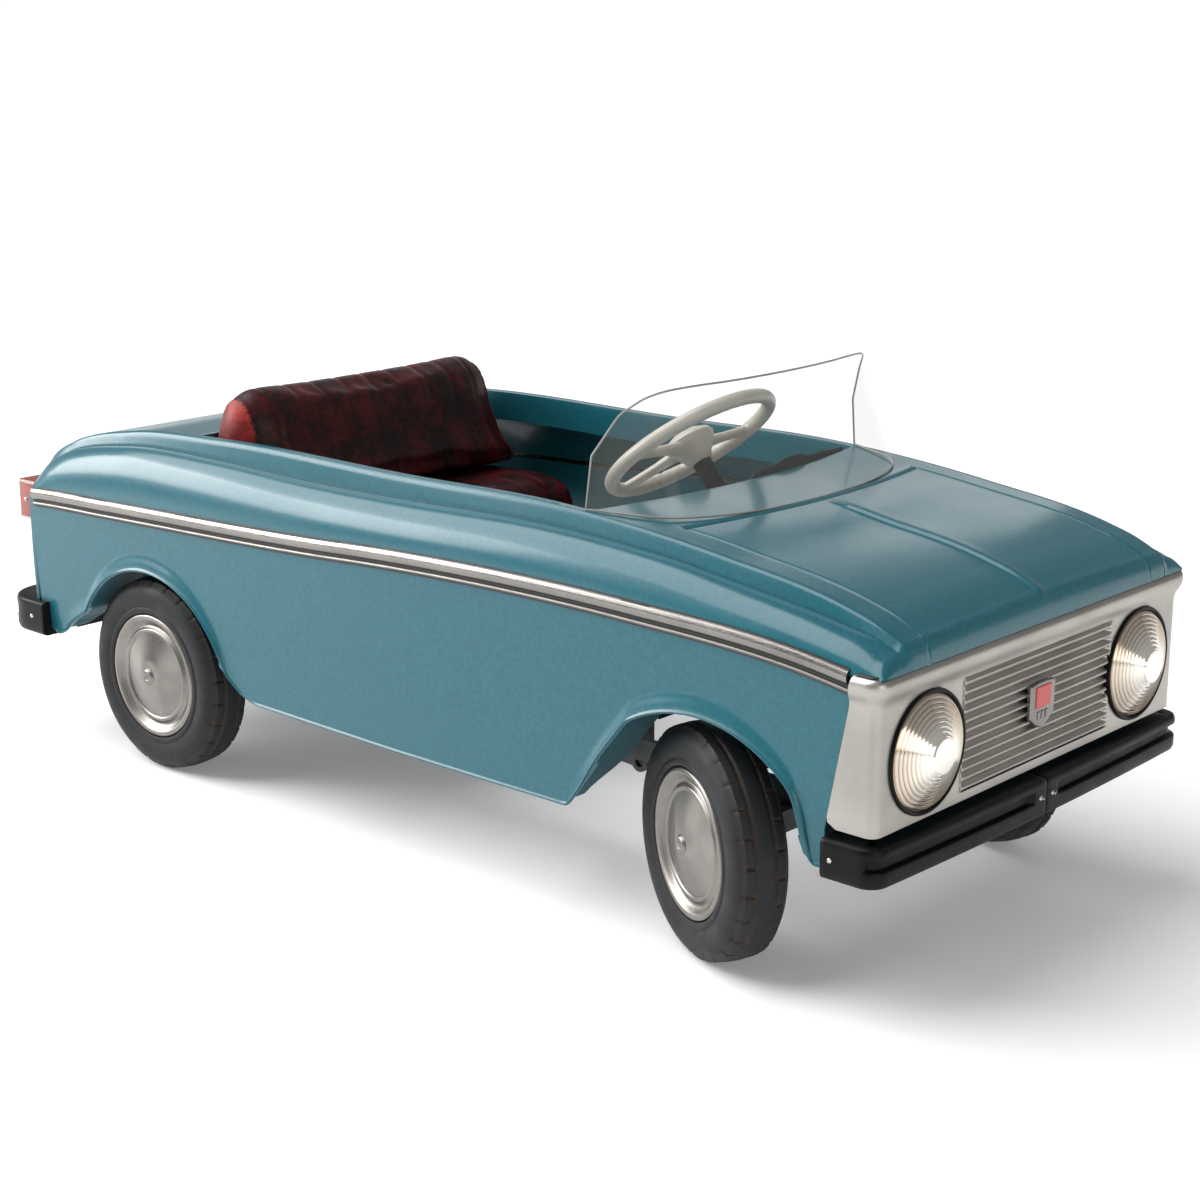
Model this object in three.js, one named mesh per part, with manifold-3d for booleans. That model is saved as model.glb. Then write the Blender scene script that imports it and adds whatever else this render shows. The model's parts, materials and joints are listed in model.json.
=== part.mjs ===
// Child's pedal car with a pressed steel body, steered front wheels and a treadle drive to the rear axle.
// Millimetres, +X towards the front of the car, +Y to its left side, +Z up, ground at Z = 0.
// Lengths along X are written from the middle of the wheelbase and shifted at the end.
import * as THREE from 'three';
import { mergeVertices } from 'three/addons/utils/BufferGeometryUtils.js';
import Module from 'manifold-3d';

const wasm = await Module();
wasm.setup();

// ---- overall sizes ----
const WHEELBASE = 710;
const BODY_HALF_WIDTH = 222;
const SILL_Z = 100;
const GRILLE_X = 525;
const TAIL_X = 565;
const BUMPER_DEPTH = 10;
const REAR_BUMPER_DEPTH = 28.4;
const GAP = 0.3;
const SHEET = 2;

// ---- wheels ----
const TYRE_R = 97.5;
const TYRE_WIDTH = 50;
const TYRE_SHOULDER = 9;
const RIM_R = 64;
const TRACK_HALF = 216;
const HUB_R = 13;
const AXLE_R = 6;
const WHEEL_FACETS = 32;

// ---- steering ----
const KINGPIN_Y = 167;
const KINGPIN_R = 4.5;
const REST_STEER_DEG = -25;
const STEER_ARM = 36;
const CRANK_STANDOFF = 12;
const HUB_BEHIND_AXLE = 195;
const HUB_ABOVE_AXLE = 272.5;
const HAND_WHEEL_R = 85;
const HAND_WHEEL_RIM_R = 6.5;
const COLUMN_TILT_DEG = 48.8;
const COLUMN_R = 9;

// ---- drive ----
const CRANK_THROW = 34;
const CRANK_Y = 83;
const ROD_THICK = 5;
const LEVER_Y = 75;
const LEVER_BEHIND_AXLE = 179;
const LEVER_TOP_Z = 265;
const RAIL_Y = 104;
const RAIL_THICK = 6;
const RAIL_ABOVE_AXLE = 10.5;
const RAIL_HEIGHT = 20;

// ---- derived places ----
const FRONT_AXLE_X = WHEELBASE / 2;
const REAR_AXLE_X = -WHEELBASE / 2;
const AXLE_Z = TYRE_R;
const LEVER_X = FRONT_AXLE_X - LEVER_BEHIND_AXLE;
const RAIL_Z = AXLE_Z + RAIL_ABOVE_AXLE;
const HAND_WHEEL_X = FRONT_AXLE_X - HUB_BEHIND_AXLE;
const HAND_WHEEL_Z = AXLE_Z + HUB_ABOVE_AXLE;
const LAMP_Y = 157;
const LAMP_Z = 206;
const LENS_R = 46;
const LENS_PROUD = 17;
const LENS_TIP_R = 14;
const ORIGIN_SHIFT = (TAIL_X + 2 * GAP + REAR_BUMPER_DEPTH - GRILLE_X - LENS_PROUD) / 2;

const group = new THREE.Group();
const V = (x, y, z) => new THREE.Vector3(x, y, z);
const rad = (deg) => deg * Math.PI / 180;

// ---- finishes ----
const FINISH = {
  paint: { color: 0x2f7f99, roughness: 0.25, metalness: 0.1 },
  bright: { color: 0xb8b4ac, roughness: 0.35, metalness: 0.9 },
  black: { color: 0x16171a, roughness: 0.55, metalness: 0 },
  rubber: { color: 0x1b1b1c, roughness: 0.8, metalness: 0 },
  leather: { color: 0x6b1018, roughness: 0.5, metalness: 0 },
  ivory: { color: 0xd8d2c2, roughness: 0.4, metalness: 0 },
  clear: { color: 0xe4eef0, roughness: 0.05, metalness: 0 },
  lamp: { color: 0xe9dcc0, roughness: 0.15, metalness: 0.3 },
  red: { color: 0xa82a18, roughness: 0.3, metalness: 0 },
  steel: { color: 0x54575a, roughness: 0.5, metalness: 0.8 },
};

// ---- solid helpers ----
function toSolid(geometry) {
  const g = geometry.clone();
  g.deleteAttribute('normal');
  g.deleteAttribute('uv');
  const m = mergeVertices(g, 1e-4);
  const vertProperties = new Float32Array(m.attributes.position.array);
  const triVerts = new Uint32Array(m.index.array);
  return new wasm.Manifold(new wasm.Mesh({ numProp: 3, vertProperties, triVerts }));
}

function fromSolid(solid) {
  const mesh = solid.getMesh();
  const points = [];
  for (let i = 0; i < mesh.vertProperties.length; i += mesh.numProp) {
    points.push(mesh.vertProperties[i], mesh.vertProperties[i + 1], mesh.vertProperties[i + 2]);
  }
  const g = new THREE.BufferGeometry();
  g.setAttribute('position', new THREE.Float32BufferAttribute(points, 3));
  g.setIndex([...mesh.triVerts]);
  return g;
}

function join(first, ...others) {
  return fromSolid(others.reduce((sum, g) => sum.add(toSolid(g)), toSolid(first)));
}

function cut(first, ...tools) {
  return fromSolid(tools.reduce((rest, g) => rest.subtract(toSolid(g)), toSolid(first)));
}

// Turns the faces outwards when the enclosed volume comes out negative.
function outward(geometry) {
  const p = geometry.attributes.position;
  const index = [...geometry.index.array];
  const a = V(0, 0, 0);
  const b = V(0, 0, 0);
  const c = V(0, 0, 0);
  let volume = 0;
  for (let i = 0; i < index.length; i += 3) {
    a.fromBufferAttribute(p, index[i]);
    b.fromBufferAttribute(p, index[i + 1]);
    c.fromBufferAttribute(p, index[i + 2]);
    volume += a.dot(b.cross(c));
  }
  if (volume < 0) {
    for (let i = 0; i < index.length; i += 3) {
      [index[i], index[i + 1]] = [index[i + 1], index[i]];
    }
    geometry.setIndex(index);
  }
  return geometry;
}

// Closed solid through a row of matching closed loops, flat at both ends.
function loft(loops, flat) {
  const count = loops[0].length;
  const points = loops.flat().flatMap((v) => [v.x, v.y, v.z]);
  const index = [];
  for (let s = 0; s < loops.length - 1; s += 1) {
    for (let i = 0; i < count; i += 1) {
      const a = s * count + i;
      const b = s * count + (i + 1) % count;
      index.push(a, b, b + count, a, b + count, a + count);
    }
  }
  const last = (loops.length - 1) * count;
  const firstCap = THREE.ShapeUtils.triangulateShape(loops[0].map(flat), []);
  const lastCap = THREE.ShapeUtils.triangulateShape(loops[loops.length - 1].map(flat), []);
  const turn = THREE.ShapeUtils.isClockWise(loops[0].map(flat)) ? 1 : -1;
  firstCap.forEach(([a, b, c]) => index.push(...capFace(a, b, c, turn)));
  lastCap.forEach(([a, b, c]) => index.push(...capFace(a + last, b + last, c + last, -turn)));
  const g = new THREE.BufferGeometry();
  g.setAttribute('position', new THREE.Float32BufferAttribute(points, 3));
  g.setIndex(index);
  return fixCaps(g, index.length - 3 * (firstCap.length + lastCap.length), firstCap.length * 3);
}

function capFace(a, b, c, turn) {
  return turn > 0 ? [a, b, c] : [a, c, b];
}

// Matches each cap's winding to the side faces it meets, then turns the solid outwards.
function fixCaps(g, sideEnd, firstCapLength) {
  const index = [...g.index.array];
  const edges = new Set();
  for (let i = 0; i < sideEnd; i += 3) {
    [[0, 1], [1, 2], [2, 0]].forEach(([a, b]) => edges.add(`${index[i + a]}_${index[i + b]}`));
  }
  const ranges = [[sideEnd, sideEnd + firstCapLength], [sideEnd + firstCapLength, index.length]];
  ranges.forEach(([from, to]) => {
    let clash = false;
    for (let i = from; i < to; i += 3) {
      [[0, 1], [1, 2], [2, 0]].forEach(([a, b]) => {
        clash = clash || edges.has(`${index[i + a]}_${index[i + b]}`);
      });
    }
    for (let i = from; clash && i < to; i += 3) {
      [index[i], index[i + 1]] = [index[i + 1], index[i]];
    }
  });
  g.setIndex(index);
  return outward(g);
}

const byXZ = (v) => new THREE.Vector2(v.x, v.z);
const byYZ = (v) => new THREE.Vector2(v.y, v.z);
const byXY = (v) => new THREE.Vector2(v.x, v.y);

// Bent sheet: a grid of outer points and the matching grid of inner points, closed along its edges.
function sheet(outer, inner) {
  const rows = outer.length;
  const cols = outer[0].length;
  const points = [...outer.flat(), ...inner.flat()].flatMap((v) => [v.x, v.y, v.z]);
  const under = rows * cols;
  const at = (r, c) => r * cols + c;
  const index = [];
  const quad = (a, b, c, d) => index.push(a, b, c, a, c, d);
  for (let r = 0; r < rows - 1; r += 1) {
    for (let c = 0; c < cols - 1; c += 1) {
      quad(at(r, c), at(r, c + 1), at(r + 1, c + 1), at(r + 1, c));
      quad(under + at(r, c), under + at(r + 1, c), under + at(r + 1, c + 1), under + at(r, c + 1));
    }
  }
  const rim = [];
  for (let c = 0; c < cols - 1; c += 1) rim.push(at(0, c));
  for (let r = 0; r < rows - 1; r += 1) rim.push(at(r, cols - 1));
  for (let c = cols - 1; c > 0; c -= 1) rim.push(at(rows - 1, c));
  for (let r = rows - 1; r > 0; r -= 1) rim.push(at(r, 0));
  rim.forEach((a, i) => {
    const b = rim[(i + 1) % rim.length];
    quad(b, a, under + a, under + b);
  });
  const g = new THREE.BufferGeometry();
  g.setAttribute('position', new THREE.Float32BufferAttribute(points, 3));
  g.setIndex(index);
  return outward(g);
}

function box(x0, x1, y0, y1, z0, z1) {
  const g = new THREE.BoxGeometry(x1 - x0, y1 - y0, z1 - z0);
  g.translate((x0 + x1) / 2, (y0 + y1) / 2, (z0 + z1) / 2);
  return g;
}

// Round bar between two points.
function bar(from, to, r, facets = 16) {
  const length = from.distanceTo(to);
  const g = new THREE.CylinderGeometry(r, r, length, facets);
  const turn = new THREE.Quaternion().setFromUnitVectors(V(0, 1, 0), to.clone().sub(from).normalize());
  g.applyQuaternion(turn);
  const middle = from.clone().add(to).multiplyScalar(0.5);
  g.translate(middle.x, middle.y, middle.z);
  return g;
}

// Turned piece about the Y direction: profile of [radius, distance along Y].
function turned(profile, facets = WHEEL_FACETS) {
  const outline = profile.map(([r, y]) => new THREE.Vector2(r, y));
  const g = new THREE.LatheGeometry(outline, facets);
  g.rotateY(Math.PI / facets + Math.PI / 2);
  g.deleteAttribute('normal');
  g.deleteAttribute('uv');
  return outward(mergeVertices(g, 1e-4));
}

// Solid of constant outline in the X-Z plane between two Y values.
function slabXZ(outline, y0, y1) {
  return loft([y0, y1].map((y) => outline.map(([x, z]) => V(x, y, z))), byXZ);
}

// Smooth height curve through a few [position, height] points.
function curveThrough(knots) {
  const spline = new THREE.SplineCurve(knots.map(([a, b]) => new THREE.Vector2(a, b)));
  const samples = spline.getPoints(knots.length * 8);
  return (x) => {
    const i = Math.min(Math.max(samples.findIndex((p) => p.x >= x), 1), samples.length - 1);
    const a = samples[i - 1];
    const b = samples[i];
    const t = x > b.x ? 1 : Math.max((x - a.x) / (b.x - a.x), 0);
    return a.y + (b.y - a.y) * t;
  };
}

function mirrorY(geometry) {
  const g = geometry.clone();
  g.scale(1, -1, 1);
  const index = [...g.index.array];
  for (let i = 0; i < index.length; i += 3) [index[i], index[i + 1]] = [index[i + 1], index[i]];
  g.setIndex(index);
  return g;
}

function add(name, geometry, finish) {
  const g = geometry.clone();
  g.translate(ORIGIN_SHIFT, 0, 0);
  g.computeVertexNormals();
  const mesh = new THREE.Mesh(g, new THREE.MeshStandardMaterial(FINISH[finish]));
  mesh.name = name;
  group.add(mesh);
}

// The right side is modelled and the left side is its mirror image.
function addPair(name, right, finish) {
  add(`${name}_right`, right, finish);
  add(`${name}_left`, mirrorY(right), finish);
}

// ---- body lines, as heights along the car ----
const BELT_LINE = [[-545, 253], [-400, 263], [-100, 275], [280, 286], [450, 279], [540, 265]];
const DECK_EDGE = [[-566, 268], [-548, 288], [-500, 311], [-400, 334], [-270, 343], [180, 347], [350,
  332], [470, 313], [536, 284]];
const FRONT_ARCH = { x: FRONT_AXLE_X - 2, z: 81, r: 131, foot: 141 };
const REAR_ARCH = { x: REAR_AXLE_X + 4, z: 90, r: 118, foot: 138 };
const ARCH_DEPTH = 57;
const FLANGE_OUT = BODY_HALF_WIDTH - 4;
const SILL_OUT = BODY_HALF_WIDTH - 5;
const SILL_WIDTH = 21;
const COCKPIT_HALF = 181;
const COCKPIT_REAR_X = -304;
const COCKPIT_FRONT_X = 206;
const DECK_HALF = 189;
const CREASE_HALF = 195;
const STEP_DROP = 18;
const BODY_REAR_X = -540;
const BODY_FRONT_X = 507;
const REAR_FLOOR_Z = 116;
const FRONT_FLOOR_Z = 128;

const beltZ = curveThrough(BELT_LINE);
const deckZ = curveThrough(DECK_EDGE);

// Outer half-width of the side at a height: nearly flat, drawn in a little towards the sill.
function sideY(z) {
  const t = Math.min(Math.max((z - SILL_Z) / (1.2 * SILL_Z), 0), 1);
  return BODY_HALF_WIDTH - 5 * (1 - t) * (1 - t);
}

function bottomZ(x) {
  if (x < REAR_ARCH.x) return REAR_FLOOR_Z;
  return x > FRONT_ARCH.x ? FRONT_FLOOR_Z : SILL_Z;
}

function stations(from, to, count) {
  return Array.from({ length: count + 1 }, (_, i) => from + (to - from) * i / count);
}

function archOutline(arch, grow) {
  const r = arch.r + grow;
  const arc = stations(155, 25, 12).map((deg) => [arch.x + r * Math.cos(rad(deg)),
    arch.z + r * Math.sin(rad(deg))]);
  const foot = arch.foot + grow;
  return [[arch.x + foot, SILL_Z - 1], [arch.x - foot, SILL_Z - 1], ...arc];
}

// Rolled-in flange of the wheel opening, following its edge.
function archFlange(arch) {
  const ring = cut(slabXZ(archOutline(arch, SHEET), -FLANGE_OUT, ARCH_DEPTH - FLANGE_OUT), archTool(arch));
  return cut(ring, box(arch.x - 200, arch.x + 200, -300, 0, 0, Math.max(SILL_Z, 104)));
}

function archTool(arch) {
  return slabXZ(archOutline(arch, 0), -BODY_HALF_WIDTH - 20, ARCH_DEPTH + 45 - BODY_HALF_WIDTH);
}

function sidePanel() {
  const loops = stations(BODY_REAR_X, BODY_FRONT_X, 16).map((x) => {
    const low = bottomZ(x);
    const high = beltZ(x) + 8;
    const heights = [low, low + (high - low) * 0.3, low + (high - low) * 0.6, high];
    const outer = heights.map((z) => V(x, -sideY(z), z));
    const inner = heights.map((z) => V(x, -sideY(z) + SHEET, z)).reverse();
    return [...outer, ...inner];
  });
  const skin = loft(loops, byYZ);
  const sill = box(REAR_ARCH.x + REAR_ARCH.foot + 4, FRONT_ARCH.x - FRONT_ARCH.foot - 4, -SILL_OUT, SILL_WIDTH - SILL_OUT,
    SILL_Z, SILL_Z + SHEET);
  const opened = cut(join(skin, sill), archTool(FRONT_ARCH), archTool(REAR_ARCH));
  return join(opened, archFlange(FRONT_ARCH), archFlange(REAR_ARCH));
}

// Shoulder above the belt line, the steep step above it, the coaming's top band and its inner flange.
function shoulder() {
  const xs = stations(-TAIL_X + 2, GRILLE_X - 7, 16);
  const outer = xs.map((x) => shoulderLine(x, 0));
  const inner = xs.map((x) => shoulderLine(x, SHEET));
  return sheet(outer, inner);
}

function shoulderLine(x, inset) {
  const tuck = Math.min(Math.max((-480 - x) / 85, 0), 1);
  const place = (y, z) => V(x + tuck * tailPlan(y), -y, z);
  const low = beltZ(x) + 8.6;
  const top = deckZ(x) - inset;
  const crease = Math.max(top - STEP_DROP, low + 6);
  const rise = stations(0, 90, 3).map((deg) => {
    const y = CREASE_HALF + (BODY_HALF_WIDTH - CREASE_HALF) * Math.cos(rad(deg)) - inset;
    return place(y, low + (crease - low) * Math.sin(rad(deg)));
  });
  const flangeZ = Math.max(deckZ(x) - 29, low - 6);
  return [...rise, place(DECK_HALF + 2 - inset, top), place(COCKPIT_HALF + 0.4 + inset, top),
    place(COCKPIT_HALF + 0.4 + inset, flangeZ)];
}

// Panel of one X-Z profile between the two shoulders, pulled back by a plan curve.
function crossPanel(profile, half, pull) {
  const ys = [-half, -half * 0.85, -half * 0.5, 0, half * 0.5, half * 0.85, half];
  const outer = ys.map((y) => profile.map(([x, z]) => V(x + pull(y), y, z)));
  const inner = ys.map((y) => profile.map(([x, z], i) => {
    const n = profileNormal(profile, i);
    return V(x + pull(y) + n.x * SHEET, y, z + n.y * SHEET);
  }));
  return sheet(outer, inner);
}

function profileNormal(profile, i) {
  const a = profile[Math.max(i - 1, 0)];
  const b = profile[Math.min(i + 1, profile.length - 1)];
  const d = new THREE.Vector2(b[0] - a[0], b[1] - a[1]).normalize();
  return new THREE.Vector2(d.y, -d.x);
}

const BONNET_REAR_X = 312;
const BONNET_PROFILE = [[BONNET_REAR_X, 340.4], [360, 333], [430, 322], [490, 308], [516, 299], [527,
  289], [529, 277.5]];
const REAR_DECK_PROFILE = [[-564, 262], [-557, 277], [-540, 292], [-500, 309], [-440, 324], [-370,
  336], [COCKPIT_REAR_X, 343]];
const TAIL_PROFILE = [[-TAIL_X + 7, 118], [-TAIL_X + 2, 150], [-TAIL_X, 200], [-TAIL_X, 240],
  [-TAIL_X + 1, 254]];
const WINDSCREEN_BOW = 22;

// How far the tail's rounded corner lies ahead of its middle.
const TAIL_CORNER = 26;
const TAIL_FLAT = 0.62;
const flatPlan = () => 0;
const tailPlan = (y) => TAIL_CORNER * (Math.max(Math.abs(y) / BODY_HALF_WIDTH - TAIL_FLAT,
  0) / (1 - TAIL_FLAT)) ** 2;

function bonnet() {
  return crossPanel(BONNET_PROFILE, COCKPIT_HALF - GAP, flatPlan);
}

// Deck between the cockpit's bowed front edge and the bonnet, with its lip turned down.
function cowl() {
  const half = COCKPIT_HALF - GAP;
  const ys = stations(-half, half, 8);
  const line = (y, drop) => {
    const bow = WINDSCREEN_BOW * (1 - (y / half) ** 2);
    const front = COCKPIT_FRONT_X + bow;
    return [V(front + drop, y, 320), V(front + drop, y, 346.5 - drop), V(256 + bow, y, 345 - drop),
      V(BONNET_REAR_X - 1, y, 340.6 - drop)];
  };
  return sheet(ys.map((y) => line(y, 0)), ys.map((y) => line(y, SHEET)));
}

function rearDeck() {
  return crossPanel(REAR_DECK_PROFILE, COCKPIT_HALF - GAP, flatPlan);
}

function tailPanel() {
  return crossPanel(TAIL_PROFILE, BODY_HALF_WIDTH - 8, tailPlan);
}

function frontApron() {
  return slabXZ([[508, 118], [518, 118], [521, 128], [521, 152], [519, 152], [519, 129], [508, 120]],
    -205, 205);
}

function buildBody() {
  addPair('side_panel', sidePanel(), 'paint');
  addPair('shoulder', shoulder(), 'paint');
  add('bonnet', bonnet(), 'paint');
  add('cowl', cowl(), 'paint');
  add('rear_deck', rearDeck(), 'paint');
  add('tail_panel', tailPanel(), 'paint');
  add('front_apron', frontApron(), 'paint');
}

// ---- front end ----
const SHELL_LOW_Z = 153;
const SHELL_LIP_Z = 262;
const SHELL_RETURN_X = 479;
const RIB_COUNT = 12;
const RIB_HALF_WIDTH = 111;
const RIB_LOW_Z = 160;
const RIB_PITCH = 7.8;

function grilleShell() {
  const half = BODY_HALF_WIDTH + 0.4;
  const face = box(GRILLE_X - 2, GRILLE_X, -half - 1, half + 1, SHELL_LOW_Z, SHELL_LIP_Z + 2);
  const x = GRILLE_X;
  const sideOutline = [[SHELL_RETURN_X, SHELL_LOW_Z], [x - 1, SHELL_LOW_Z], [x - 1, SHELL_LIP_Z + 2],
    [SHELL_RETURN_X + 24, SHELL_LIP_Z + 2]];
  const sides = [-1, 1].map((s) => slabXZ(sideOutline, s * half, s * (half + 1.2)));
  const lip = slabXZ([[x - 2, 261], [x + 5, 262], [x + 7, 267], [x + 5, 273], [x - 3, 276.4], [x - 6,
    276.4],
    [x - 6, 274], [x - 2, 272]], -half - 5, half + 5);
  const window = box(x - 10, x + 10, -RIB_HALF_WIDTH, RIB_HALF_WIDTH, RIB_LOW_Z,
    RIB_LOW_Z + RIB_COUNT * RIB_PITCH);
  const holes = [-1, 1].map((s) => bar(V(x - 10, s * LAMP_Y, LAMP_Z), V(x + 2, s * LAMP_Y, LAMP_Z),
    LENS_R + 5, 40));
  return cut(join(face, ...sides, lip), window, ...holes);
}

// Pressed sheet of horizontal ribs between the two lamps.
function grilleRibs() {
  const front = [];
  const x = GRILLE_X - 5;
  for (let i = 0; i < RIB_COUNT; i += 1) {
    const z = RIB_LOW_Z + i * RIB_PITCH;
    front.push([x, z], [x + 3, z + RIB_PITCH * 0.3], [x + 3, z + RIB_PITCH * 0.75]);
  }
  const top = RIB_LOW_Z + RIB_COUNT * RIB_PITCH;
  const outline = [...front, [x, top], [x - 1.5, top], [x - 1.5, RIB_LOW_Z]];
  const panel = slabXZ(outline, -RIB_HALF_WIDTH + GAP, RIB_HALF_WIDTH - GAP);
  const holes = [-1, 1].map((s) => bar(V(x - 10, s * LAMP_Y, LAMP_Z), V(x + 12, s * LAMP_Y, LAMP_Z),
    LENS_R + 5.3, 40));
  return cut(panel, ...holes);
}

// Turned piece whose axis lies along X: profile of [radius, distance forward].
function turnedX(profile, facets) {
  const g = turned(profile, facets);
  g.rotateZ(-Math.PI / 2);
  return g;
}

function lampParts(side) {
  const place = (g) => g.translate(GRILLE_X, side * LAMP_Y, LAMP_Z);
  const r = LENS_R;
  const ring = turnedX([[r + 0.4, -4], [r + 4.6, -4], [r + 4.6, 3], [r + 2.5, 5], [r + 0.4, 5],
    [r + 0.4, -4]], 28);
  const reflector = turnedX([[0, -24], [14, -23], [r * 0.7, -14], [r - 1, -3], [r - 2.5, -3],
    [r * 0.67, -12.5], [13, -21],
    [0, -22]], 24);
  const steps = [[0, LENS_PROUD], [LENS_TIP_R, LENS_PROUD], [r - 18, LENS_PROUD - 6], [r - 2, 2], [r, 0], [r, -2.4],
    [0, -2.4]];
  const lens = turnedX(steps, 28);
  return { ring: place(ring), reflector: place(reflector), lens: place(lens) };
}

// Shield-shaped badge, blank, standing in front of the ribs.
function badge() {
  const x = GRILLE_X + 1;
  const outline = [[-20, 226], [20, 226], [18, 195], [0, 187], [-18, 195]];
  return loft([x, x + 4].map((px) => outline.map(([y, z]) => V(px, y, z))), byYZ);
}

const BUMPER_SECTION = [[0, 0], [0.72, 0], [1, 0.1], [1, 0.3], [0.62, 0.36], [0.62, 0.62], [1, 0.7],
  [1, 0.9], [0.72, 1], [0, 1]];

// Bumper strip swept along a plan path of [x, y], its section standing outside the path.
function bumperStrip(path, lowZ, height, depthAt) {
  const loops = path.map(([x, y], i) => {
    const a = path[Math.max(i - 1, 0)];
    const b = path[Math.min(i + 1, path.length - 1)];
    const n = new THREE.Vector2(b[1] - a[1], a[0] - b[0]).normalize();
    const depth = depthAt(i);
    return BUMPER_SECTION.map(([d, h]) => V(x + n.x * d * depth, y + n.y * d * depth, lowZ + h * height));
  });
  return loft(loops, byYZ);
}

const FRONT_BUMPER_Z = 114;
const FRONT_BUMPER_HEIGHT = 33;
const REAR_BUMPER_Z = 110;
const REAR_BUMPER_HEIGHT = 36;

function cornerPath(frontX, halfWidth, endX, bow, radius) {
  const face = stations(GAP, halfWidth - radius, 4).map((y) => [frontX - bow * (y / halfWidth) ** 2, -y]);
  const cornerX = face[face.length - 1][0] - radius;
  const arc = stations(18, 90, 4).map((deg) => [cornerX + radius * Math.cos(rad(deg)),
    -(halfWidth - radius + radius * Math.sin(rad(deg)))]);
  return [...face, ...arc, [endX, -halfWidth]];
}

function frontBumperHalf() {
  const path = cornerPath(GRILLE_X + 2.5, BODY_HALF_WIDTH - 1.4, 482, 5, 14).reverse();
  return bumperStrip(path, FRONT_BUMPER_Z, FRONT_BUMPER_HEIGHT, () => BUMPER_DEPTH);
}

function rearBumper() {
  const half = cornerPath(TAIL_X + 2 * GAP, BODY_HALF_WIDTH - 1.4, 522, 3, 26);
  const side = half.map(([x, y]) => [-x, -y]);
  const path = [...side.slice(1).reverse(), [-TAIL_X - 2 * GAP, 0], ...side.slice(1).map(([x,
    y]) => [x, -y])];
  const extra = REAR_BUMPER_DEPTH - BUMPER_DEPTH;
  const depths = path.map(([x]) => BUMPER_DEPTH + extra * Math.min(Math.max((-x - 535) / 28, 0), 1));
  return bumperStrip(path, REAR_BUMPER_Z, REAR_BUMPER_HEIGHT, (i) => depths[i]);
}

const TAIL_LAMP = { back: TAIL_X + 19, inner: 165, outer: 203, low: 222, high: 260.6 };

// Square-cornered lamp block seated on the tail's rounded corner.
function tailLamp() {
  const { back, inner, outer, low, high } = TAIL_LAMP;
  const seat = stations(outer, inner, 4).map((y) => [-TAIL_X - GAP + tailPlan(y), -y]);
  const outline = [...seat, [-back, -inner], [-back, -outer]];
  return loft([low, high].map((z) => outline.map(([x, y]) => V(x, y, z))), byXY);
}

function beltTrim() {
  const half = 10.5;
  const loops = stations(BODY_REAR_X + 2, SHELL_RETURN_X + 20, 12).map((x) => {
    const z = beltZ(x) - 3;
    const y = BODY_HALF_WIDTH + GAP;
    return [V(x, -y, z - half), V(x, -y - 2, z - half), V(x, -y - 2.4, z - half * 0.5), V(x, -y - 5,
      z - half * 0.3),
      V(x, -y - 5.5, z + half * 0.4), V(x, -y - 3, z + half * 0.9), V(x, -y, z + half)];
  });
  return loft(loops, byYZ);
}

function buildFront() {
  add('grille_shell', grilleShell(), 'bright');
  add('grille_ribs', grilleRibs(), 'bright');
  [['right', -1], ['left', 1]].forEach(([word, side]) => {
    const lamp = lampParts(side);
    add(`headlamp_ring_${word}`, lamp.ring, 'black');
    add(`headlamp_reflector_${word}`, lamp.reflector, 'bright');
    add(`headlamp_lens_${word}`, lamp.lens, 'lamp');
  });
  add('badge', badge(), 'bright');
  addPair('front_bumper', frontBumperHalf(), 'black');
  add('rear_bumper', rearBumper(), 'black');
  addPair('tail_lamp', tailLamp(), 'red');
  addPair('belt_trim', beltTrim(), 'bright');
}

// ---- windscreen ----
const SCREEN_BASE = [[302.5, 0, 343], [300, 62, 343.5], [291, 112, 344], [274, 146, 345], [250, 164,
  346.2], [225, 172, 347.4],
  [206, 178, 348.2]];
const SCREEN_TOP = [[268, 0, 446], [266, 52, 446], [260, 97, 446], [252, 130, 445], [241, 151, 439],
  [228, 165, 416],
  [212, 177, 371]];
const SCREEN_THICK = 1.6;

function windscreen() {
  const half = (list) => [...list.slice(1).reverse().map(([x, y, z]) => V(x, -y, z)), ...list.map(([x,
    y, z]) => V(x, y, z))];
  const base = half(SCREEN_BASE);
  const top = half(SCREEN_TOP);
  const rows = [0, 0.5, 1].map((t) => base.map((p, i) => p.clone().lerp(top[i], t)));
  const back = rows.map((row) => row.map((p) => {
    const inwards = V(-Math.abs(1 - (p.y / 190) ** 2) - 0.15, -p.y / 150, 0).normalize();
    return p.clone().addScaledVector(inwards, SCREEN_THICK);
  }));
  return sheet(rows, back);
}

// ---- seat ----
const SEAT_HALF = 168;
const BACK_PROFILE = [[-294, 274], [-299, 330], [-297, 368], [-288, 383], [-273, 388], [-256, 383],
  [-245, 366], [-228, 316],
  [-206, 284], [-212, 274]];
const BASE_PROFILE = [[-296, 222], [-298, 266], [-210, 270], [-150, 272], [-130, 269], [-117, 259],
  [-113, 242], [-118, 224]];

// Cushion of one X-Z outline, drawn in at its two rounded ends.
function cushion(profile, half) {
  const cx = profile.reduce((s, p) => s + p[0], 0) / profile.length;
  const cz = profile.reduce((s, p) => s + p[1], 0) / profile.length;
  const ends = [[-half, 0.82], [-half + 5, 0.94], [-half + 14, 1], [half - 14, 1], [half - 5, 0.94],
    [half, 0.82]];
  return loft(ends.map(([y, k]) => profile.map(([x, z]) => V(cx + (x - cx) * k, y,
    cz + (z - cz) * k))), byXZ);
}

// Pressed steel seat pan: a flat board with a front lip and an upright back plate.
function seatPan() {
  const outline = [[-300, 216], [-118, 216], [-118, 196], [-116, 196], [-116, 218], [-300.5, 218],
    [-300.5, 332],
    [-302.5, 332], [-302.5, 216]];
  return slabXZ(outline, -SEAT_HALF - 6, SEAT_HALF + 6);
}

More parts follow.
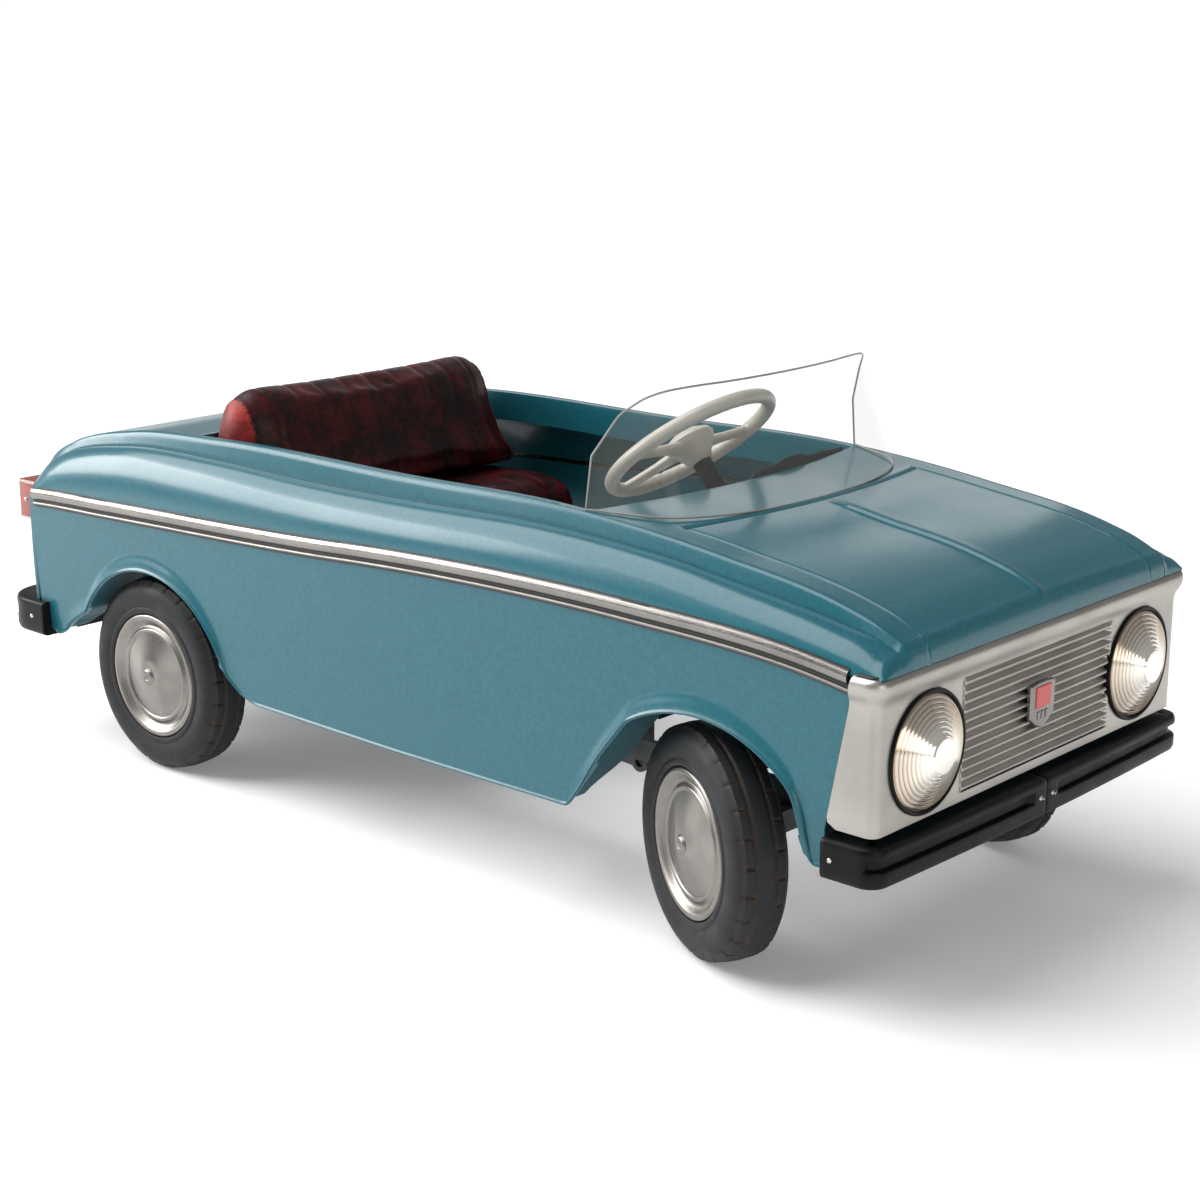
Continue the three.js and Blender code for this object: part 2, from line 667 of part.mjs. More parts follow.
function buildSeat() {
  add('seat_back', cushion(BACK_PROFILE, SEAT_HALF), 'leather');
  add('seat_base', cushion(BASE_PROFILE, SEAT_HALF - 2), 'leather');
  add('seat_pan', seatPan(), 'steel');
}

// ---- chassis ----
const RAIL_REAR_X = -500;
const RAIL_FRONT_X = 480;

function chassisRail() {
  const y0 = -RAIL_Y;
  const y1 = -RAIL_Y + RAIL_THICK;
  const rail = box(RAIL_REAR_X, RAIL_FRONT_X, y0, y1, RAIL_Z, RAIL_Z + RAIL_HEIGHT);
  const hanger = box(REAR_AXLE_X - 14, REAR_AXLE_X + 14, y0, y1, AXLE_Z - 14, RAIL_Z + 4);
  const outriggers = [-150, 130].map((x) => box(x, x + 24, -sideY(RAIL_Z) + SHEET + GAP, y1 - 1,
    RAIL_Z, RAIL_Z + 6));
  const ends = [box(RAIL_REAR_X, RAIL_REAR_X + 3, -200, y1, RAIL_Z + 10, RAIL_Z + RAIL_HEIGHT)];
  const hole = bar(V(REAR_AXLE_X, -200, AXLE_Z), V(REAR_AXLE_X, 0, AXLE_Z), AXLE_R + 0.6, 24);
  return cut(join(rail, hanger, ...outriggers, ...ends), hole);
}

// Two-eared eye at each end of the front beam, holding the kingpin.
function beamFork(side) {
  const y = side * KINGPIN_Y;
  const ears = [-1, 1].map((s) => {
    const z = AXLE_Z + s * 18;
    const inner = Math.min(y - side * 30, y);
    const outer = Math.max(y - side * 30, y);
    const plate = box(FRONT_AXLE_X - 8, FRONT_AXLE_X + 8, inner, outer, z - 3, z + 3);
    const nose = bar(V(FRONT_AXLE_X, y, z - 3), V(FRONT_AXLE_X, y, z + 3), 8, 16);
    return join(plate, nose);
  });
  const back = box(FRONT_AXLE_X - 8, FRONT_AXLE_X + 8, Math.min(y - side * 36, y - side * 28),
    Math.max(y - side * 36, y - side * 28), AXLE_Z - 21, AXLE_Z + 21);
  const hole = bar(V(FRONT_AXLE_X, y, AXLE_Z - 40), V(FRONT_AXLE_X, y, AXLE_Z + 40), KINGPIN_R + 0.55, 16);
  return cut(join(...ears, back), hole);
}

const E_DOWN = V(Math.cos(rad(COLUMN_TILT_DEG)), 0, -Math.sin(rad(COLUMN_TILT_DEG)));
const HUB_POINT = V(HAND_WHEEL_X, 0, HAND_WHEEL_Z);
const ARM_X = FRONT_AXLE_X - STEER_ARM;
const CRANK_DIR = V(-Math.sin(rad(COLUMN_TILT_DEG)), 0, -Math.cos(rad(COLUMN_TILT_DEG)));
// Distance along the column at which its crank pin stands over the steering arms.
const COLUMN_REACH = (ARM_X - CRANK_DIR.x * STEER_ARM - HUB_POINT.x) / E_DOWN.x;
const COLUMN_END = HUB_POINT.clone().addScaledVector(E_DOWN, COLUMN_REACH);
const PIN_POINT = COLUMN_END.clone().addScaledVector(CRANK_DIR, STEER_ARM);
const CRANK_ROOT = COLUMN_END.clone().addScaledVector(E_DOWN, -CRANK_STANDOFF);
const CRANK_TIP = PIN_POINT.clone().addScaledVector(E_DOWN, -CRANK_STANDOFF);
const BEARING_AT = COLUMN_REACH - CRANK_STANDOFF - 24;

function columnBearing() {
  const low = HUB_POINT.clone().addScaledVector(E_DOWN, BEARING_AT - 9);
  const high = HUB_POINT.clone().addScaledVector(E_DOWN, BEARING_AT + 9);
  return { low, high };
}

// Front beam with its forks and the upright that carries the column's lower bearing.
function frontBeam() {
  const beam = box(FRONT_AXLE_X - 9, FRONT_AXLE_X + 9, -KINGPIN_Y + 33, KINGPIN_Y - 33, AXLE_Z - 9,
    RAIL_Z - GAP);
  const { low, high } = columnBearing();
  const sleeve = bar(low, high, COLUMN_R + 6, 16);
  const shelfZ = low.z + 12;
  const post = box(FRONT_AXLE_X + 4, FRONT_AXLE_X + 9, -12, 12, RAIL_Z - 6, shelfZ);
  const shelf = box(low.x, FRONT_AXLE_X + 9, -9, 9, shelfZ - 5, shelfZ);
  const bore = bar(low.clone().addScaledVector(E_DOWN, -30), high.clone().addScaledVector(E_DOWN, 60),
    COLUMN_R + 0.7, 16);
  return cut(join(beam, beamFork(-1), beamFork(1), post, shelf, sleeve), bore);
}

const PEDAL_BAR_R = 4;

// U-shaped hanger under the cowl with the bar that the pedal levers swing on.
function pedalHanger() {
  const shaft = bar(V(LEVER_X, -96, LEVER_TOP_Z), V(LEVER_X, 96, LEVER_TOP_Z), PEDAL_BAR_R, 16);
  const plates = [-1, 1].map((s) => box(LEVER_X - 8, LEVER_X + 76, Math.min(s * 94, s * 97),
    Math.max(s * 94, s * 97),
    LEVER_TOP_Z - 8, LEVER_TOP_Z + 12));
  const uprights = [-1, 1].map((s) => box(LEVER_X + 60, LEVER_X + 76, Math.min(s * 94, s * 97),
    Math.max(s * 94, s * 97),
    LEVER_TOP_Z, 338));
  return join(shaft, ...plates, ...uprights, box(LEVER_X + 60, LEVER_X + 76, -97, 97, 334, 338));
}

// Narrow padded strip under the lip of the dash.
function dashTrim() {
  const ys = stations(-150, 150, 8);
  const loops = ys.map((y) => {
    const x = COCKPIT_FRONT_X + WINDSCREEN_BOW * (1 - (y / COCKPIT_HALF) ** 2) - 6 * GAP;
    return [V(x, y, 322), V(x, y, 343), V(x - 6, y, 344), V(x - 9, y, 338), V(x - 8, y, 326)];
  });
  return loft(loops, byXZ);
}

function buildChassis() {
  addPair('chassis_rail', chassisRail(), 'steel');
  add('front_beam', frontBeam(), 'steel');
  add('pedal_hanger', pedalHanger(), 'steel');
  add('dash_trim', dashTrim(), 'black');
}

// ---- wheels ----
// Profiles are written for the right side: distance along Y grows towards the car's middle.
const TYRE_OUT = TYRE_R / Math.cos(Math.PI / WHEEL_FACETS);

function tyre() {
  const w = TYRE_WIDTH;
  return turned([[RIM_R - 1, 3], [RIM_R + 10, 0], [TYRE_R - 9, 3], [TYRE_OUT, TYRE_SHOULDER + 4],
    [TYRE_OUT, w - TYRE_SHOULDER - 4], [TYRE_R - 9, w - 3], [RIM_R + 10, w], [RIM_R - 1, w - 3],
      [RIM_R - 1, 3]]);
}

// Pressed dish with a hub tube behind it.
function wheelDisc() {
  const r = RIM_R - 1.4;
  const deep = TYRE_WIDTH - 16;
  return turned([[AXLE_R + 0.5, 1], [42, 6], [r - 7, 1.5], [r, 4], [r, deep], [r - 2, deep], [r - 2,
    7], [HUB_R, 5],
    [HUB_R, deep], [AXLE_R + 0.5, deep], [AXLE_R + 0.5, 1]]);
}

function hubNut() {
  return turned([[0, -6], [5, -5.6], [9, -2.6], [9.4, 0.2], [0, 0.2]], 12);
}

// Moves a wheel piece from its own frame to an axle end on the right side.
function atAxle(geometry, x) {
  const g = geometry.clone();
  g.translate(x, -TRACK_HALF, AXLE_Z);
  return g;
}

function steered(geometry, side) {
  const g = geometry.clone();
  g.translate(-FRONT_AXLE_X, -side * KINGPIN_Y, 0);
  g.rotateZ(rad(REST_STEER_DEG));
  g.translate(FRONT_AXLE_X, side * KINGPIN_Y, 0);
  return g;
}

// Kingpin, stub axle and the arm that the track rod pulls.
function knuckle() {
  const k = V(FRONT_AXLE_X, -KINGPIN_Y, AXLE_Z);
  const barrel = bar(V(k.x, k.y, k.z - 14.5), V(k.x, k.y, k.z + 14.5), 8.5, 16);
  const pin = bar(V(k.x, k.y, k.z - 24), V(k.x, k.y, k.z + 30), KINGPIN_R, 16);
  const stub = bar(V(k.x, k.y, k.z), V(k.x, -TRACK_HALF + 0.6, k.z), AXLE_R, 16);
  const armZ = PIN_POINT.z - 4;
  const riser = bar(V(k.x, k.y, k.z + 22), V(k.x, k.y, armZ), 7, 12);
  const arm = box(ARM_X - 6, k.x, k.y - 5, k.y + 5, armZ - 6, armZ - 1);
  const armPin = bar(V(ARM_X, k.y, armZ - 4), V(ARM_X, k.y, armZ + 9), 3.5, 12);
  return join(barrel, pin, stub, riser, arm, armPin);
}

// Flat rod between the two arms with a slotted eye for the column's crank pin.
function trackRod() {
  const z0 = PIN_POINT.z - 2.5;
  const z1 = PIN_POINT.z + 2.5;
  const strip = box(ARM_X - 7, ARM_X + 7, -KINGPIN_Y, KINGPIN_Y, z0, z1);
  const eyes = [-1, 1].map((s) => bar(V(ARM_X, s * KINGPIN_Y, z0), V(ARM_X, s * KINGPIN_Y, z1), 9, 16));
  const plate = box(ARM_X - 17, ARM_X + 17, -13, 13, z0, z1);
  const holes = [-1, 1].map((s) => bar(V(ARM_X, s * KINGPIN_Y, z0 - 5), V(ARM_X, s * KINGPIN_Y,
    z1 + 5), 4.1, 12));
  const slot = box(ARM_X - 12, ARM_X + 12, -4.5, 4.5, z0 - 5, z1 + 5);
  return cut(join(strip, ...eyes, plate), ...holes, slot);
}

// The rod keeps its heading while its ends swing with the arms.
function shiftedRod(geometry) {
  const t = rad(REST_STEER_DEG);
  const g = geometry.clone();
  g.translate(STEER_ARM * (1 - Math.cos(t)), -STEER_ARM * Math.sin(t), 0);
  return g;
}

function turnedColumn(geometry) {
  const g = geometry.clone();
  g.translate(-HUB_POINT.x, 0, -HUB_POINT.z);
  g.applyQuaternion(new THREE.Quaternion().setFromAxisAngle(E_DOWN.clone().negate(), rad(REST_STEER_DEG)));
  g.translate(HUB_POINT.x, 0, HUB_POINT.z);
  return g;
}

function steeringColumn() {
  const at = (d) => HUB_POINT.clone().addScaledVector(E_DOWN, d);
  const tube = bar(at(12), at(COLUMN_REACH - CRANK_STANDOFF + 5), COLUMN_R, 16);
  const arm = bar(CRANK_ROOT, CRANK_TIP.clone().addScaledVector(CRANK_DIR, 3.5), 4, 10);
  const pin = bar(CRANK_TIP, PIN_POINT.clone().addScaledVector(E_DOWN, 8), 3, 12);
  return join(tube, arm, pin);
}

// Hand wheel in its own plane (rim about Z), later tilted to face the driver.
function handWheel() {
  const rimR = HAND_WHEEL_R - HAND_WHEEL_RIM_R;
  const rim = new THREE.TorusGeometry(rimR, HAND_WHEEL_RIM_R, 8, 32);
  const spokes = [90, -90, 195].map((deg) => {
    const d = V(Math.cos(rad(deg)), Math.sin(rad(deg)), 0);
    return bar(d.clone().multiplyScalar(8).setZ(-3), d.clone().multiplyScalar(rimR), 5, 8);
  });
  const hub = new THREE.LatheGeometry([[0, -15], [13, -15], [20, -6], [21, 2], [17, 9], [8, 13], [0, 14]]
    .map(([r, z]) => new THREE.Vector2(r, z)), 16);
  hub.rotateX(Math.PI / 2);
  const bore = bar(V(0, 0, -30), V(0, 0, -11.5), COLUMN_R + 2 * GAP, 16);
  return cut(join(outwardIndexed(rim), ...spokes, outwardIndexed(hub)), bore);
}

function outwardIndexed(geometry) {
  const g = geometry.clone();
  g.deleteAttribute('normal');
  g.deleteAttribute('uv');
  return outward(mergeVertices(g, 1e-4));
}

// Places the wheel at the top of the column; its own X axis ends up pointing forward and up.
function placedHandWheel() {
  const g = handWheel();
  const forward = CRANK_DIR.clone().negate();
  const up = E_DOWN.clone().negate();
  const left = up.clone().cross(forward);
  g.applyMatrix4(new THREE.Matrix4().makeBasis(forward, left, up));
  g.translate(HUB_POINT.x, 0, HUB_POINT.z);
  return g;
}

function buildSteering() {
  addPairSteered('knuckle', knuckle(), 'steel');
  add('track_rod', shiftedRod(trackRod()), 'steel');
  add('steering_column', turnedColumn(steeringColumn()), 'black');
  add('steering_wheel', placedHandWheel(), 'ivory');
}

function addPairSteered(name, right, finish) {
  add(`${name}_right`, steered(right, -1), finish);
  add(`${name}_left`, steered(mirrorY(right), 1), finish);
}

function buildWheels() {
  const front = (g) => atAxle(g, FRONT_AXLE_X);
  const rear = (g) => atAxle(g, REAR_AXLE_X);
  addPairSteered('front_tyre', front(tyre()), 'rubber');
  addPairSteered('front_disc', front(wheelDisc()), 'bright');
  addPairSteered('front_hub_nut', front(hubNut()), 'bright');
  addPair('rear_tyre', rear(tyre()), 'rubber');
  addPair('rear_disc', rear(wheelDisc()), 'bright');
  addPair('rear_hub_nut', rear(hubNut()), 'bright');
}

// ---- drive ----
// Cranked axle: straight ends through the hangers and one throw on each side, half a turn apart.
function rearAxle() {
  const at = (y, dz) => V(REAR_AXLE_X, y, AXLE_Z + dz);
  const end = TRACK_HALF - 0.6;
  const inner = CRANK_Y - 5;
  const outer = CRANK_Y + 5;
  const pieces = [bar(at(-inner, 0), at(inner, 0), AXLE_R, 16)];
  [[-1, CRANK_THROW], [1, -CRANK_THROW]].forEach(([s, throwZ]) => {
    pieces.push(bar(at(s * outer, 0), at(s * end, 0), AXLE_R, 16));
    pieces.push(web(s * (inner - 2), s * (inner + 1), throwZ));
    pieces.push(web(s * (outer - 1), s * (outer + 2), throwZ));
    pieces.push(bar(at(s * (inner - 1), throwZ), at(s * (outer + 1), throwZ), 4, 12));
  });
  return join(...pieces);
}

function web(y0, y1, throwZ) {
  const low = AXLE_Z + Math.min(0, throwZ);
  const high = AXLE_Z + Math.max(0, throwZ);
  const a = Math.min(y0, y1);
  const b = Math.max(y0, y1);
  const plate = box(REAR_AXLE_X - 7, REAR_AXLE_X + 7, a, b, low, high);
  const caps = [low, high].map((z) => bar(V(REAR_AXLE_X, a, z), V(REAR_AXLE_X, b, z), 7.2, 12));
  return join(plate, ...caps);
}

// Push rod from the crank pin to the foot of the pedal lever.
function pushRod(side, throwZ) {
  const y0 = side * CRANK_Y - ROD_THICK / 2;
  const y1 = side * CRANK_Y + ROD_THICK / 2;
  const rear = V(REAR_AXLE_X, 0, AXLE_Z + throwZ);
  const front = V(LEVER_X, 0, AXLE_Z);
  const dir = front.clone().sub(rear).normalize();
  const n = V(-dir.z, 0, dir.x).multiplyScalar(5);
  const a = rear.clone().add(n);
  const b = front.clone().add(n);
  const c = front.clone().sub(n);
  const d = rear.clone().sub(n);
  const strip = slabXZ([a, b, c, d].map((p) => [p.x, p.z]), y0, y1);
  const eyes = [rear, front].map((p) => bar(V(p.x, y0, p.z), V(p.x, y1, p.z), 9, 14));
  const holes = [rear, front].map((p) => bar(V(p.x, y0 - 5, p.z), V(p.x, y1 + 5, p.z), 4.7, 12));
  return cut(join(strip, ...eyes), ...holes);
}

// Hanging lever with an eye round the bar at its top.
function pedalLever(side) {
  const y0 = side * LEVER_Y - 2;
  const y1 = side * LEVER_Y + 2;
  const strip = box(LEVER_X - 7, LEVER_X + 7, y0, y1, AXLE_Z, LEVER_TOP_Z);
  const eyes = [AXLE_Z, LEVER_TOP_Z].map((z) => bar(V(LEVER_X, y0, z), V(LEVER_X, y1, z), 9, 14));
  const inward = -side;
  const peg = bar(V(LEVER_X, side * LEVER_Y, 160), V(LEVER_X, side * LEVER_Y + inward * 58, 160), 4, 12);
  const hole = bar(V(LEVER_X, y0 - 5, LEVER_TOP_Z), V(LEVER_X, y1 + 5, LEVER_TOP_Z), PEDAL_BAR_R + 0.6, 16);
  return cut(join(strip, ...eyes, peg), hole);
}

// Foot block on the lever's peg.
function pedalPad(side) {
  const inner = side * (LEVER_Y - 5);
  const outer = side * (LEVER_Y - 55);
  const block = box(LEVER_X - 14, LEVER_X + 10, Math.min(inner, outer), Math.max(inner, outer), 136, 184);
  const hole = bar(V(LEVER_X, -120, 160), V(LEVER_X, 120, 160), 4.5, 12);
  return cut(block, hole);
}

function buildDrive() {
  add('rear_axle', rearAxle(), 'steel');
  [['right', -1, CRANK_THROW], ['left', 1, -CRANK_THROW]].forEach(([word, side, throwZ]) => {
    add(`push_rod_${word}`, pushRod(side, throwZ), 'steel');
    add(`pedal_lever_${word}`, pedalLever(side), 'steel');
    add(`pedal_pad_${word}`, pedalPad(side), 'black');
  });
}

buildBody();
buildFront();
add('windscreen', windscreen(), 'clear');
buildSeat();
buildChassis();
buildWheels();
buildSteering();
buildDrive();

export default group;
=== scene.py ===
"""Looks of a child's pedal car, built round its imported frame.

Lengths in the shape code are millimetres. X positions are written from the middle of the wheelbase,
Y to the car's left and Z up from the ground; put() moves them into the frame in metres.
"""
import json
import math

import bpy
import numpy as np
from mathutils import Matrix, Vector


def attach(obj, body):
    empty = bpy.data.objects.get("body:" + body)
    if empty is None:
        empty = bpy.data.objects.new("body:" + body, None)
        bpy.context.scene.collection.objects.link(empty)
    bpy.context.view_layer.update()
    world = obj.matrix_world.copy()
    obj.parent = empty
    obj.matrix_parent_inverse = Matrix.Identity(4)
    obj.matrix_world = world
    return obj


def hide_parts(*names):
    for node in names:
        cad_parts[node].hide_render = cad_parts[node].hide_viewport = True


bl_info = {
    "name": "Pedal Car Looks",
    "version": (1, 0, 0),
    "blender": (4, 5, 0),
    "location": "View3D > Sidebar > Pedal Car",
    "description": "Builds the visible body, wheels, seat and fittings of a pedal car round its frame",
    "category": "Add Mesh",
}

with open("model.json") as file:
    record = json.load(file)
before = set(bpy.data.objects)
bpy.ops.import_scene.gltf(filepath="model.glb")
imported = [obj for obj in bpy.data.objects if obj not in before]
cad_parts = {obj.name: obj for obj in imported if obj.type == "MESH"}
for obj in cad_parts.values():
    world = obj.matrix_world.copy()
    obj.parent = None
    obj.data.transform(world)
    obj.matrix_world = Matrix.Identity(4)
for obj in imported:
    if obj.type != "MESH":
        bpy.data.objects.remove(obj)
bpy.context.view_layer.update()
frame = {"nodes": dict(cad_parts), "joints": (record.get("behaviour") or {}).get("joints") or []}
JOINT_AT = {joint["name"]: Vector(joint["pos_m"]) for joint in frame["joints"]}
FRONT_AXLE = JOINT_AT["knuckle_right_steer"]
REAR_AXLE = JOINT_AT["rear_axle_spin"]
MIDDLE = (FRONT_AXLE.x + REAR_AXLE.x) / 2
HALF_BASE = (FRONT_AXLE.x - REAR_AXLE.x) * 500
KINGPIN_Y = abs(FRONT_AXLE.y) * 1000
AXLE_Z = REAR_AXLE.z * 1000
STEER_DEG = -25.0
SIDES = (("right", -1), ("left", 1))

# ---- body lines: pairs of position along the car and height ----
BELT_LINE = ((-566, 254.5), (-532, 257.5), (-400, 263), (-100, 275), (0, 281), (280, 286),
             (450, 279), (540, 266))
DECK_EDGE = ((-566, 270), (-548, 288), (-500, 311), (-400, 334), (-270, 343), (-13, 345),
             (180, 347), (350, 333), (474, 313), (500, 305), (522, 294), (536, 284))
STEP_DROP = ((-566, 4), (-500, 10), (-400, 14), (-306, 17), (-150, 22), (-20, 20), (114, 18),
             (300, 14), (474, 11), (536, 4))
CENTRE_RISE = ((-566, 0), (180, 0), (350, 1.5), (420, 2), (536, 3))
REAR_ARCH = {"x": -HALF_BASE + 11, "z": 90, "r": 117, "from": 151, "to": 28}
FRONT_ARCH = {"x": HALF_BASE - 2, "z": 81, "r": 131, "from": 122, "to": 43}
BODY_HALF = 222
SILL_TUCK = 5
CREASE_Y = 194
DECK_Y = 189
COCKPIT_Y = 181
COCKPIT_X = (-304, 206)
DASH_BOW = 22
DASH_LIP_Z = 345.2
DASH_FOOT_Z = 323
GROOVE_Y = 161
GROOVE_X = 290
NOSE_X = 519
LIP_Z = 276.5
TAIL_X = -565
GRILLE_X = 525
LAMP_Y = 157
LAMP_Z = 206
LAMP_HOLE_R = 49.5
LENS_R = 46
LENS_FLAT_R = 15
LENS_FLAT_Z = 15.2
LENS_FALL = 13.4
LENS_STEPS = 9


def smooth_line(knots):
    """Smooth curve through pairs of position and height."""
    xs, ys = np.array(knots, float).T
    slopes = np.gradient(ys, xs)

    def height(x):
        x = np.clip(np.asarray(x, float), xs[0], xs[-1])
        i = np.clip(np.searchsorted(xs, x) - 1, 0, len(xs) - 2)
        span = xs[i + 1] - xs[i]
        t = (x - xs[i]) / span
        near = (2 * t**3 - 3 * t**2 + 1) * ys[i] + (t**3 - 2 * t**2 + t) * span * slopes[i]
        far = (3 * t**2 - 2 * t**3) * ys[i + 1] + (t**3 - t**2) * span * slopes[i + 1]
        return near + far

    return height


def ramp(x, low, high):
    """Smooth rise from 0 at low to 1 at high."""
    t = np.clip((np.asarray(x, float) - low) / (high - low), 0, 1)
    return t * t * (3 - 2 * t)


def dent(distance, width):
    """Rounded hollow of depth 1 at distance 0."""
    return np.exp(-((distance / width) ** 2))


belt_z = smooth_line(BELT_LINE)
deck_z = smooth_line(DECK_EDGE)
centre_rise = smooth_line(CENTRE_RISE)
step_drop = smooth_line(STEP_DROP)


def side_y(z):
    """Half-width of the side at a height: nearly flat, drawn in a little towards the sill."""
    t = np.clip((z - 100) / 120, 0, 1)
    return BODY_HALF - SILL_TUCK * (1 - t) ** 2


def arc_points(cx, cy, r, from_deg, to_deg, count):
    angles = np.radians(np.linspace(from_deg, to_deg, count))
    return np.column_stack((cx + r * np.cos(angles), cy + r * np.sin(angles)))


def spaced(points, count):
    """Points at even steps along a path."""
    points = np.asarray(points, float)
    steps = np.linalg.norm(np.diff(points, axis=0), axis=1)
    along = np.concatenate(([0], np.cumsum(steps)))
    at = np.linspace(0, along[-1], count)
    return np.column_stack([np.interp(at, along, points[:, k]) for k in range(points.shape[1])])


def rounded(points, count, passes):
    """Even path with its corners eased by averaging neighbours."""
    path = spaced(points, count)
    for _ in range(passes):
        path[1:-1] = (path[:-2] + 2 * path[1:-1] + path[2:]) / 4
    return path


def normals_2d(path):
    step = np.gradient(path, axis=0)
    step /= np.linalg.norm(step, axis=1)[:, None]
    return np.column_stack((step[:, 1], -step[:, 0]))


# ---- mesh helpers ----
def deselect():
    if bpy.context.object and bpy.context.object.mode != "OBJECT":
        bpy.ops.object.mode_set(mode="OBJECT")
    for obj in bpy.context.selected_objects:
        obj.select_set(False)


def take(obj):
    deselect()
    obj.select_set(True)
    bpy.context.view_layer.objects.active = obj
    return obj


def edit(obj, *steps):
    """Runs edit-mode steps with the whole mesh selected at the start."""
    take(obj)
    bpy.ops.object.mode_set(mode="EDIT")
    bpy.ops.mesh.select_all(action="SELECT")
    for step in steps:
        step()
    bpy.ops.object.mode_set(mode="OBJECT")
    return obj


def weld(limit=0.00002):
    bpy.ops.mesh.remove_doubles(threshold=limit)


def close_holes():
    bpy.ops.mesh.select_all(action="DESELECT")
    bpy.ops.mesh.select_non_manifold()
    bpy.ops.mesh.fill_holes(sides=0)
    bpy.ops.mesh.select_all(action="SELECT")


def face_out():
    bpy.ops.mesh.normals_make_consistent(inside=False)


def points_of(obj):
    co = np.empty(len(obj.data.vertices) * 3)
    obj.data.vertices.foreach_get("co", co)
    return co.reshape(-1, 3)


def write_points(obj, co):
    obj.data.vertices.foreach_set("co", np.asarray(co, float).ravel())
    obj.data.update()


def put(points):
    """Millimetres from the middle of the wheelbase to metres in the frame."""
    return np.asarray(points, float) / 1000 + (MIDDLE, 0, 0)


def grid_piece(name, across, along, place):
    """Adds a grid and lays its points out with place(u, v), u and v running from 0 to 1."""
    deselect()
    bpy.ops.mesh.primitive_grid_add(x_subdivisions=across, y_subdivisions=along, size=1)
    obj = bpy.context.object
    obj.name = obj.data.name = name
    co = points_of(obj)
    x, y, z = place(np.clip(co[:, 0] + 0.5, 0, 1), np.clip(co[:, 1] + 0.5, 0, 1))
    write_points(obj, put(np.column_stack((x, y, z))))
    return obj


def swept_piece(name, path, section, capped=True, shape=None):
    """Sweeps a closed section of (outward, up) points along a plan path of (x, y) points."""
    path = np.asarray(path, float)
    normal = normals_2d(path)
    section = np.asarray(section, float)
    loop = np.vstack((section, section[:1]))

    def place(u, v):
        i = np.rint(u * (len(path) - 1)).astype(int)
        j = np.rint(v * (len(loop) - 1)).astype(int)
        out, up = loop[j, 0].copy(), loop[j, 1].copy()
        if shape is not None:
            out, up = shape(i / (len(path) - 1), out, up)
        return path[i, 0] + normal[i, 0] * out, path[i, 1] + normal[i, 1] * out, up

    obj = grid_piece(name, len(path) - 1, len(loop) - 1, place)
    return edit(obj, weld, close_holes, face_out) if capped else edit(obj, weld, face_out)


def spun_piece(name, profile, centre, axis, steps):
    """Spins a profile of (radius, distance along the axis) about an axis through centre."""
    axis = Vector(axis).normalized()
    side = axis.orthogonal().normalized()
    points = [Vector(centre) + side * r + axis * d for r, d in profile]
    mesh = bpy.data.meshes.new(name)
    mesh.from_pydata([tuple(put(p)) for p in points], [(i, i + 1) for i in range(len(points) - 1)], [])
    obj = bpy.data.objects.new(name, mesh)
    bpy.context.scene.collection.objects.link(obj)
    pivot = tuple(put(centre))

    def spin():
        bpy.ops.mesh.spin(steps=steps, angle=math.tau, center=pivot, axis=tuple(axis))

    return edit(obj, spin, weld, close_holes, face_out)


def modify(obj, kind, **settings):
    take(obj)
    modifier = obj.modifiers.new(kind.title(), kind)
    for key, value in settings.items():
        setattr(modifier, key, value)
    bpy.ops.object.modifier_apply(modifier=modifier.name)
    return obj


def soften(obj, degrees=40):
    take(obj)
    bpy.ops.object.shade_smooth_by_angle(angle=math.radians(degrees))
    return obj


def moved_copy(obj, name, matrix):
    """Copy of a piece with its own mesh, moved by a matrix; a mirrored copy has its faces turned back."""
    copy = bpy.data.objects.new(name, obj.data.copy())
    copy.data.name = name
    bpy.context.scene.collection.objects.link(copy)
    copy.data.transform(matrix)
    if matrix.determinant() < 0:
        copy.data.flip_normals()
    return copy


def mirrored(obj, name):
    return moved_copy(obj, name, Matrix.Scale(-1, 4, (0, 1, 0)))


def cut_with(obj, tool):
    modify(obj, "BOOLEAN", operation="DIFFERENCE", object=tool, solver="EXACT")
    bpy.data.objects.remove(tool)
    return obj


def joined(pieces):
    take(pieces[0])
    for piece in pieces[1:]:
        piece.select_set(True)
    bpy.ops.object.join()
    return pieces[0]


def dress(obj, finishes, body, stands_for=()):
    """Gives a piece its materials, the body it rides on and the nodes it stands for."""
    if not isinstance(finishes, (list, tuple)):
        finishes = [finishes]
    indices = [p.material_index for p in obj.data.polygons]
    obj.data.materials.clear()
    for finish in finishes:
        obj.data.materials.append(FINISHES[finish])
    obj.data.polygons.foreach_set("material_index", np.minimum(indices, len(finishes) - 1))
    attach(obj, body)
    if stands_for:
        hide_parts(*stands_for)
    return obj


# ---- finishes ----
FINISHES = {}


